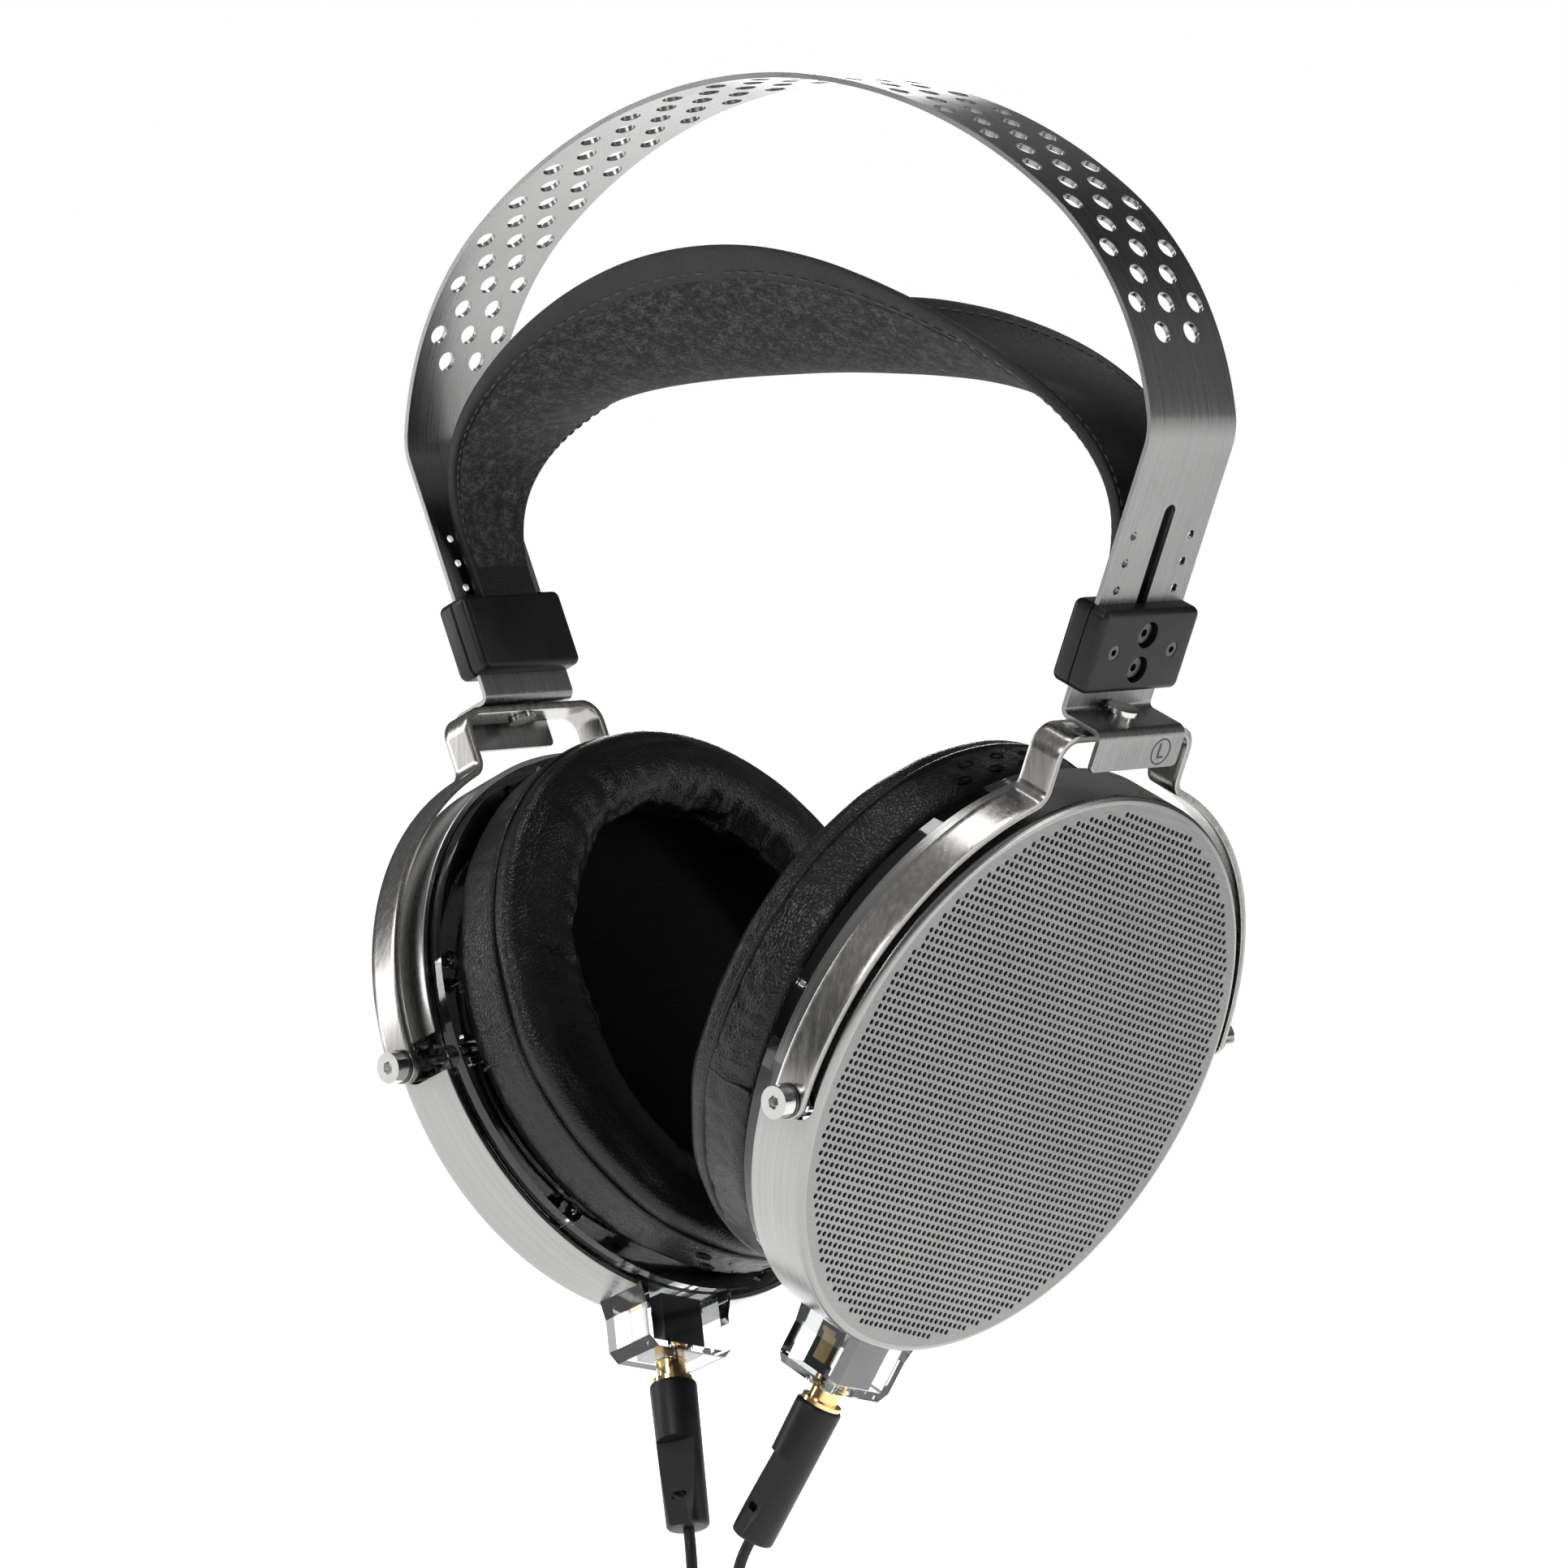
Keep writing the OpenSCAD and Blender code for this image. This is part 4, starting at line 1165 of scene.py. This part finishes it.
CAN_R = 57.5 * MM
CAN_DEPTH = 13 * MM
FACE_X = 4.8 * MM
REAR_X = FACE_X - CAN_DEPTH
CAN_WALL = 1.0 * MM
EDGE_R = 1.5 * MM
GRILLE_R = 54.9 * MM
GRILLE_PITCH = 1.6 * MM
GRILLE_HOLE_R = 0.5 * MM


def grille():
    """The face plate: a square lattice of round holes, each with its wall, inside a plain rim."""
    rim_r = CAN_R - EDGE_R
    p = GRILLE_PITCH
    n = int(GRILLE_R / p) + 1
    cells = {(i, j) for i in range(-n, n + 1) for j in range(-n, n + 1)
             if sqrt((i * p) ** 2 + (j * p) ** 2) < GRILLE_R - p / 2}
    corners, verts, faces = {}, [], []

    def corner(i, j):
        if (i, j) not in corners:
            corners[i, j] = len(verts)
            verts.append(((i - 0.5) * p, (j - 0.5) * p, 0.0))
        return corners[i, j]

    sides = 8
    for i, j in sorted(cells):
        c = [corner(i, j), corner(i + 1, j), corner(i + 1, j + 1), corner(i, j + 1)]
        start = len(verts)
        for depth in (0.0, -0.12 * MM, -0.75 * MM):
            r = GRILLE_HOLE_R + (0.07 * MM if depth == 0 else 0)
            for k in range(sides):
                a = 2 * pi * (k + 0.5) / sides - 0.75 * pi
                verts.append((i * p + r * cos(a), j * p + r * sin(a), depth))
        for k in range(4):
            a, b = start + 2 * k, start + 2 * k + 1
            a0 = start + (2 * k - 1) % sides
            faces.append((c[k], a, a0))
            faces.append((c[k], c[(k + 1) % 4], b, a))
        for ring in (0, 1):
            for k in range(sides):
                m = (k + 1) % sides
                base = start + ring * sides
                faces.append((base + k, base + m, base + sides + m, base + sides + k))
    # Plain border between the lattice's stepped edge and the rim
    edge_nodes = [ij for ij in corners
                  if any((ij[0] - a, ij[1] - b) not in cells for a in (0, 1) for b in (0, 1))]
    flat = [Vector(((i - 0.5) * p, (j - 0.5) * p)) for i, j in edge_nodes]
    ids = [corners[ij] for ij in edge_nodes]
    steps = 192
    for k in range(steps):
        a = 2 * pi * k / steps
        ids.append(len(verts))
        verts.append((rim_r * sin(a), rim_r * cos(a), 0.0))
        flat.append(Vector(verts[-1][:2]))
    out, _, tris, origin, _, _ = delaunay_2d_cdt(flat, [], [], 0, 1e-8)
    back = [ids[o[0]] for o in origin]
    for tri in tris:
        c = sum((out[t] for t in tri), Vector((0, 0))) / 3
        if (round(c.x / p), round(c.y / p)) not in cells and c.length < rim_r:
            faces.append(tuple(back[t] for t in tri))
    turn = Matrix.Rotation(-GRILLE_TURN, 4, "X")
    placed = [turn @ Vector((v[2] + FACE_X, v[0], v[1])) for v in verts]
    obj = new_object("grille", placed, faces, smooth=False)
    bm = bmesh.new()
    bm.from_mesh(obj.data)
    bmesh.ops.recalc_face_normals(bm, faces=bm.faces)
    flat_faces = [f for f in bm.faces if abs(f.normal.x) > 0.99]
    if sum(f.normal.x * f.calc_area() for f in flat_faces) < 0:
        bmesh.ops.reverse_faces(bm, faces=bm.faces)
    bm.to_mesh(obj.data)
    bm.free()
    shade(obj, 35)
    return obj


def can_wall():
    """The can's rim and side wall, with the pivots' notches and the jack's opening."""
    rim = [(FACE_X - EDGE_R + EDGE_R * cos(a), CAN_R - EDGE_R + EDGE_R * sin(a))
           for a in [pi / 2 * i / 6 for i in range(7)]]
    profile = rim + [(REAR_X + 0.15 * MM, CAN_R), (REAR_X, CAN_R - 0.15 * MM), (REAR_X, CAN_R - CAN_WALL),
                     (FACE_X - CAN_WALL, CAN_R - CAN_WALL), (FACE_X - CAN_WALL, CAN_R - EDGE_R)]
    obj = lathe("can", profile)
    cutters = []
    notch_r = 3.8 * MM
    for sign in (-1, 1):
        cutters.append(rod("c", (0, sign * 45 * MM, 0), (0, sign * 62 * MM, 0), notch_r, 48))
        lo, hi = sorted((sign * 45 * MM, sign * 62 * MM))
        cutters.append(block("c", (REAR_X - 1 * MM, lo, -notch_r), (0, hi, notch_r)))
    jack_gap = block("c", (REAR_X - 1 * MM, -11.3 * MM, -62 * MM), (2.9 * MM, 11.3 * MM, -48 * MM))
    jack_gap.data.transform(Matrix.Rotation(-JACK_TURN, 4, "X"))
    cutters.append(jack_gap)
    cut(obj, cutters)
    return obj


def lining_mesh():
    """Black damping mesh behind the whole grille."""
    r = CAN_R - CAN_WALL - 0.6 * MM
    return lathe("mesh", [(3.4 * MM, 0.0), (3.7 * MM, 0.0), (3.7 * MM, r), (3.4 * MM, r)], 128)


def make_cans():
    both_sides("can_wall", can_wall, CUP, "cup_{}", None, M_WALL)
    both_sides("can_grille", grille, CUP, "cup_{}", ["cup_can_{}"], M_FACE)
    both_sides("can_mesh", lining_mesh, CUP, "cup_{}", ["damping_mesh_{}"], M_CLOTH)


make_cans()


# ------------------------------------------------------------------ ear pads

PLATE_X = REAR_X - 5.0 * MM
PAD_FRONT = PLATE_X - 20 * MM
PAD_R = 54.5 * MM
SEAM_X = PLATE_X - 11.6 * MM


def pad_profile():
    """Section of the pad as (axial, radius) from its outer back edge, over the front, to the cloth."""
    crest = PAD_FRONT + 0.3 * MM
    outer = [(PLATE_X - 0.1 * MM, 50.5), (PLATE_X - 0.7 * MM, 52.6), (PLATE_X - 2.2 * MM, 53.9),
             (PLATE_X - 5 * MM, 54.3), (PLATE_X - 8.4 * MM, 54.4), (SEAM_X, 54.3)]
    roll = [(SEAM_X - 0.5 * MM, 53.5), (SEAM_X - 2.2 * MM, 53.3), (SEAM_X - 4.6 * MM, 52.0),
            (SEAM_X - 6.7 * MM, 49.6), (crest + 0.5 * MM, 47.2), (crest, 45.2), (crest + 0.3 * MM, 42.6),
            (crest + 1.7 * MM, 40.3), (crest + 4.2 * MM, 38.9), (crest + 7.4 * MM, 38.4),
            (crest + 11 * MM, 38.8), (crest + 14.6 * MM, 39.6), (PLATE_X - 2.2 * MM, 40.4),
            (PLATE_X - 0.5 * MM, 42.0)]
    return [(x, r * MM) for x, r in outer + roll]


def pad_body():
    """The pad as a grid round the cup: its roll is blown up as cloth held at its seams."""
    profile = smooth_route([Vector((x, r, 0)) for x, r in pad_profile()], 1.9 * MM)
    profile = [(p.x, p.y) for p in profile]
    steps = 220
    count = len(profile)
    seam_at = min(range(count), key=lambda k: abs(profile[k][0] - SEAM_X) + abs(profile[k][1] - 54.3 * MM))
    verts, faces = [], []
    for i in range(steps):
        a = 2 * pi * i / steps
        for k, (x, r) in enumerate(profile):
            inner = max(0.0, min(1.0, (47 * MM - r) / (7 * MM)))
            oval = 1 - 0.10 * inner * sin(a) ** 2
            verts.append((x, r * oval * sin(a), r * oval * cos(a)))
    for i in range(steps):
        j = (i + 1) % steps
        for k in range(count - 1):
            faces.append((i * count + k, i * count + k + 1, j * count + k + 1, j * count + k))
    obj = new_object("pad", verts, faces)
    pins = obj.vertex_groups.new(name="pin")
    for i in range(steps):
        for k in range(count):
            held = k <= 1 or k >= count - 2 or k == seam_at
            weight = 1.0 if held else (0.8 if k < seam_at else 0.0)
            if weight:
                pins.add([i * count + k], weight, "REPLACE")
    blow_up(obj)
    caps = [0.25 * MM if k < seam_at else 1.3 * MM * min(1.0, (k - seam_at) / 3) for k in range(count)]
    cap_moves(obj, verts, caps * steps)
    wrinkle(obj, profile, count)
    mod = obj.modifiers.new("smooth", "SUBSURF")
    mod.levels = 1
    mod.render_levels = 1
    apply_modifiers(obj)
    fix_normals(obj)
    face_outwards(obj)
    shade(obj, 80)
    return obj


def blow_up(obj):
    """Cloth slightly larger than its form, held at its seams, so that it creases as leather does."""
    mod = obj.modifiers.new("cloth", "CLOTH")
    settings = mod.settings
    settings.quality = 5
    settings.mass = 0.15
    settings.tension_stiffness = 25
    settings.compression_stiffness = 25
    settings.shear_stiffness = 12
    settings.bending_stiffness = 0.12
    settings.shrink_min = -0.05
    settings.use_pressure = True
    settings.uniform_pressure_force = 2.0
    settings.vertex_group_mass = "pin"
    settings.effector_weights.gravity = 0
    scene = bpy.context.scene
    mod.point_cache.frame_start = 1
    mod.point_cache.frame_end = 24
    for f in range(1, 23):
        scene.frame_set(f)
    apply_modifiers(obj)
    scene.frame_set(1)


def cap_moves(obj, rest, caps):
    for v, home, cap in zip(obj.data.vertices, rest, caps):
        move = v.co - Vector(home)
        if move.length > cap:
            v.co = Vector(home) + move * (cap / move.length)


def wrinkle(obj, profile, count):
    """Broad dents and radial creases, strongest on the soft inner side of the roll."""
    for index, v in enumerate(obj.data.vertices):
        k = index % count
        x, r = profile[k]
        a = atan2(v.co.y, v.co.z)
        soft = max(0.0, min(1.0, (52.5 * MM - r) / (10 * MM)))
        ends = min(1.0, k / 3, (count - 1 - k) / 3)
        centre = Vector((PLATE_X - 11 * MM, 46.5 * MM * sin(a), 46.5 * MM * cos(a)))
        out = (v.co - centre).normalized()
        p = Vector((sin(a) * 2.2, cos(a) * 2.2, (x + r) * 26))
        crease = noise.noise(Vector((a * 7.5 + 1.4 * noise.noise(p), (x - r) * 60, 0.4)))
        crease = -abs(crease) ** 0.7
        dent = noise.noise(Vector((sin(a) * 3.1, cos(a) * 3.1, x * 40 + 5)))
        fold = noise.noise(Vector((a * 15 + 2.0 * noise.noise(p + Vector((9, 0, 0))), (x - r) * 30, 7.7)))
        fold = -max(0.0, abs(fold) - 0.12) * max(0.0, min(1.0, noise.noise(p * 1.3) * 3 + 0.6))
        v.co += out * (0.75 * MM * crease * soft + 0.45 * MM * dent + 1.5 * MM * fold * soft) * ends


def face_outwards(obj):
    mesh = obj.data
    front = min(mesh.polygons, key=lambda f: f.center.x)
    if front.normal.x > 0:
        mesh.flip_normals()


def ring_of_stitches(x, r, length, gap, size):
    """Short stitches round the cup's axis."""
    verts, faces = [], []
    n = int(2 * pi * r / (length + gap))
    for i in range(n):
        a0 = 2 * pi * i / n
        a1 = a0 + length / r
        base = len(verts)
        for t, w in ((0, 0.35), (0.2, 1), (0.8, 1), (1, 0.35)):
            a = a0 + (a1 - a0) * t
            radial = Vector((0, sin(a), cos(a)))
            for k in range(6):
                b = pi / 3 * k
                verts.append(Vector((x + w * size * cos(b), 0, 0)) + radial * (r + w * size * sin(b)))
        faces += stitch_faces(base)
    obj = new_object("stitches", verts, faces, smooth=False)
    fix_normals(obj)
    return obj


def pad_stitches():
    return ring_of_stitches(SEAM_X - 1.5 * MM, 53.6 * MM, 2.3 * MM, 1.3 * MM, 0.22 * MM)


def piping():
    """The welt where the gusset meets the roll."""
    bead = 0.8 * MM
    ring = [(SEAM_X + bead * cos(a), 54.0 * MM + bead * sin(a)) for a in [2 * pi * i / 12 for i in range(12)]]
    return lathe("piping", ring, 220)


def vent_holes():
    """Small oval vents in the gusset, top and bottom: a raised lip and a dark middle each. The dark middle is
    a closed cap, painted shade in place of an open hole.
    """
    parts = []
    for centre in (0, 180):
        for row, x in enumerate((PLATE_X - 4.2 * MM, PLATE_X - 8.0 * MM)):
            for i in range(-2, 3):
                a = radians(centre + 8.6 * (i + (0.5 if row else 0)))
                verts = []
                n = 20
                for ring, (size, lift) in enumerate(((1.25, 0.0), (1.12, 0.12), (0.95, 0.1), (0.85, -0.1))):
                    for k in range(n):
                        t = 2 * pi * k / n
                        along = 1.75 * MM * size * cos(t) / 1.2
                        across = 0.8 * MM * size * sin(t)
                        b = a + along / PAD_R
                        r = 54.42 * MM + lift * MM
                        verts.append((x + across, r * sin(b), r * cos(b)))
                faces = ring_faces(4, n)
                # Closing cap: the vent's dark middle, painted shade where the hole would open
                faces.append(tuple(3 * n + k for k in range(n)))
                parts.append(new_object("vent", verts, faces))
    vents = join("vents", parts)
    fix_normals(vents)
    return vents


def gusset_joins():
    """Where the gusset's strips are sewn together: a lapped ridge front and back."""
    parts = []
    for centre in (-97, 83):
        a = radians(centre)
        pts = []
        for i in range(9):
            x = PLATE_X - 0.9 * MM + (SEAM_X - PLATE_X + 1.2 * MM) * i / 8
            r = (54.05 + 0.35 * min(1, i / 2)) * MM
            pts.append(Vector((x, r * sin(a + 0.004 * sin(i)), r * cos(a + 0.004 * sin(i)))))
        parts.append(tube_mesh("join", pts, 0.42 * MM, 10))
    return join("joins", parts)


def make_pads():
    pads = both_sides("ear_pad_cover", pad_body, CUP, "cup_{}", ["ear_pad_{}"], M_PAD)
    both_sides("pad_piping", piping, CUP, "cup_{}", None, M_PAD)
    both_sides("pad_stitches", pad_stitches, CUP, "cup_{}", None, M_THREAD)
    both_sides("pad_vents", vent_holes, CUP, "cup_{}", None, M_VENT_SHADE)
    both_sides("pad_joins", gusset_joins, CUP, "cup_{}", None, M_PAD)


make_pads()


# --------------------------------------------- materials of the CAD's own pieces

NODE_MATERIALS = {
    "swivel_rivet": M_SCREW, "swivel_washer": M_RUBBER, "pivot_screws": M_SCREW,
    "pivot_spacers": M_DARK_SCREW,
    "slider_clamp_screws": M_DARK_SCREW, "detent_plungers": M_DARK_SCREW, "damping_mesh": M_CLOTH,
    "driver_frame": M_BLACK, "driver_magnets": M_MAGNET, "driver_diaphragm": M_FILM, "clear_frame": M_CLEAR,
    "frame_screws": M_SCREW, "jack_socket": M_BLACK, "jack_contacts": M_GOLD, "pad_plate": M_BLACK,
    "dust_cloth": M_CLOTH, "plug_pin": M_GOLD, "cable_splitter": M_SLEEVE, "coil_tie": M_RUBBER,
    "end_plug_sleeve": M_SLEEVE, "end_plug_pin": M_GOLD,
}


def paint_nodes():
    for name, obj in frame["nodes"].items():
        for key, mat in NODE_MATERIALS.items():
            if name.startswith(key):
                obj.data.materials.clear()
                obj.data.materials.append(mat)


paint_nodes()


# ------------------------------------------------------------ floor and light

def make_floor():
    size = 60.0
    # Below the end plug even when the band is let right down
    z = CAD_BOX[0][2] - JOINTS["height_adjust"]["range_m"][1] - 0.01
    floor = block("floor", (-size, -size, z - 0.01), (size, size, z))
    m = Nodes("floor_paint", (0.93, 0.93, 0.93), 0.7, Emission_Color=(1, 1, 1, 1), Emission_Strength=0.86)
    m.color(m.ramp(m.noise(m.coords, 3, 2.0), [(0.3, (0.93, 0.93, 0.93)), (0.7, (0.95, 0.95, 0.95))]))
    floor.data.materials.append(m.mat)


def aimed(place, aim):
    place, aim = Vector(place), Vector(aim)
    return Matrix.Translation(place) @ (aim - place).to_track_quat("-Z", "Y").to_matrix().to_4x4()


def area_light(name, place, aim, size, power, size_y=None):
    data = bpy.data.lights.new(name, "AREA")
    data.energy = power
    data.size = size
    if size_y:
        data.shape = "RECTANGLE"
        data.size_y = size_y
    obj = bpy.data.objects.new(name, data)
    obj.matrix_world = aimed(place, aim)
    obj.visible_camera = False
    bpy.context.collection.objects.link(obj)


def dark_card(name, place, aim, width, height):
    """A black card outside the picture that gives the steel something dark to reflect."""
    w, h = width / 2, height / 2
    card = new_object(name, [(-w, -h, 0), (w, -h, 0), (w, h, 0), (-w, h, 0)], [(0, 1, 2, 3)])
    card.matrix_world = aimed(place, aim)
    m = Nodes("card_black", (0.01, 0.01, 0.01), 0.9)
    m.bump(m.noise(m.coords, 20, 1.0), 0.05, 0.001)
    card.data.materials.append(m.mat)
    card.visible_camera = False
    card.visible_shadow = False


def make_light():
    world = bpy.data.worlds.new("studio")
    bpy.context.scene.world = world
    world.use_nodes = True
    tree = world.node_tree
    background = tree.nodes["Background"]
    background.inputs["Color"].default_value = (1, 1, 1, 1)
    background.inputs["Strength"].default_value = 1.0
    # Plain white to the camera, and to everything else a softer room with dark and light sides
    seen = tree.nodes.new("ShaderNodeBackground")
    seen.inputs["Color"].default_value = (1, 1, 1, 1)
    coords = tree.nodes.new("ShaderNodeTexCoord")
    split = tree.nodes.new("ShaderNodeSeparateXYZ")
    tree.links.new(coords.outputs["Generated"], split.inputs[0])
    ramp = tree.nodes.new("ShaderNodeValToRGB")
    stops = [(0.0, 0.10), (0.44, 0.06), (0.52, 0.05), (0.62, 0.10), (0.8, 0.25), (1.0, 0.35)]
    while len(ramp.color_ramp.elements) < len(stops):
        ramp.color_ramp.elements.new(0.5)
    for element, (pos, value) in zip(ramp.color_ramp.elements, stops):
        element.position = pos
        element.color = (value, value, value, 1)
    half = tree.nodes.new("ShaderNodeMapRange")
    half.inputs["From Min"].default_value = -1
    half.inputs["From Max"].default_value = 1
    tree.links.new(split.outputs["Z"], half.inputs["Value"])
    tree.links.new(half.outputs[0], ramp.inputs[0])
    tree.links.new(ramp.outputs[0], background.inputs["Color"])
    path = tree.nodes.new("ShaderNodeLightPath")
    mix = tree.nodes.new("ShaderNodeMixShader")
    tree.links.new(path.outputs["Is Camera Ray"], mix.inputs[0])
    tree.links.new(background.outputs[0], mix.inputs[1])
    tree.links.new(seen.outputs[0], mix.inputs[2])
    tree.links.new(mix.outputs[0], tree.nodes["World Output"].inputs["Surface"])
    area_light("key", (0.2, -1.7, 1.0), (0, 0, -0.08), 0.7, 11, 0.4)
    area_light("side", (-1.1, -0.7, 0.3), (0, 0, -0.08), 0.2, 5, 1.0)
    area_light("rim", (1.25, 0.6, 0.3), (0, 0, -0.05), 0.25, 5, 1.1)
    area_light("back", (-1.0, 1.1, 0.25), (0, 0, -0.05), 0.3, 6, 0.8)
    area_light("top", (0.0, 0.1, 1.2), (0, 0, -0.05), 0.5, 6, 0.4)
    dark_card("card_band", (0.2, 0.29, -0.25), (0.05, 0, -0.25), 0.04, 0.27)
    dark_card("card_high", (0.15, 1.0, 0.9), (0, 0, 0), 1.0, 0.7)
    dark_card("card_right", (1.05, 0.15, 0.25), (0, 0, -0.02), 0.3, 0.8)
    bpy.context.scene.view_settings.view_transform = "Standard"


make_floor()
make_light()
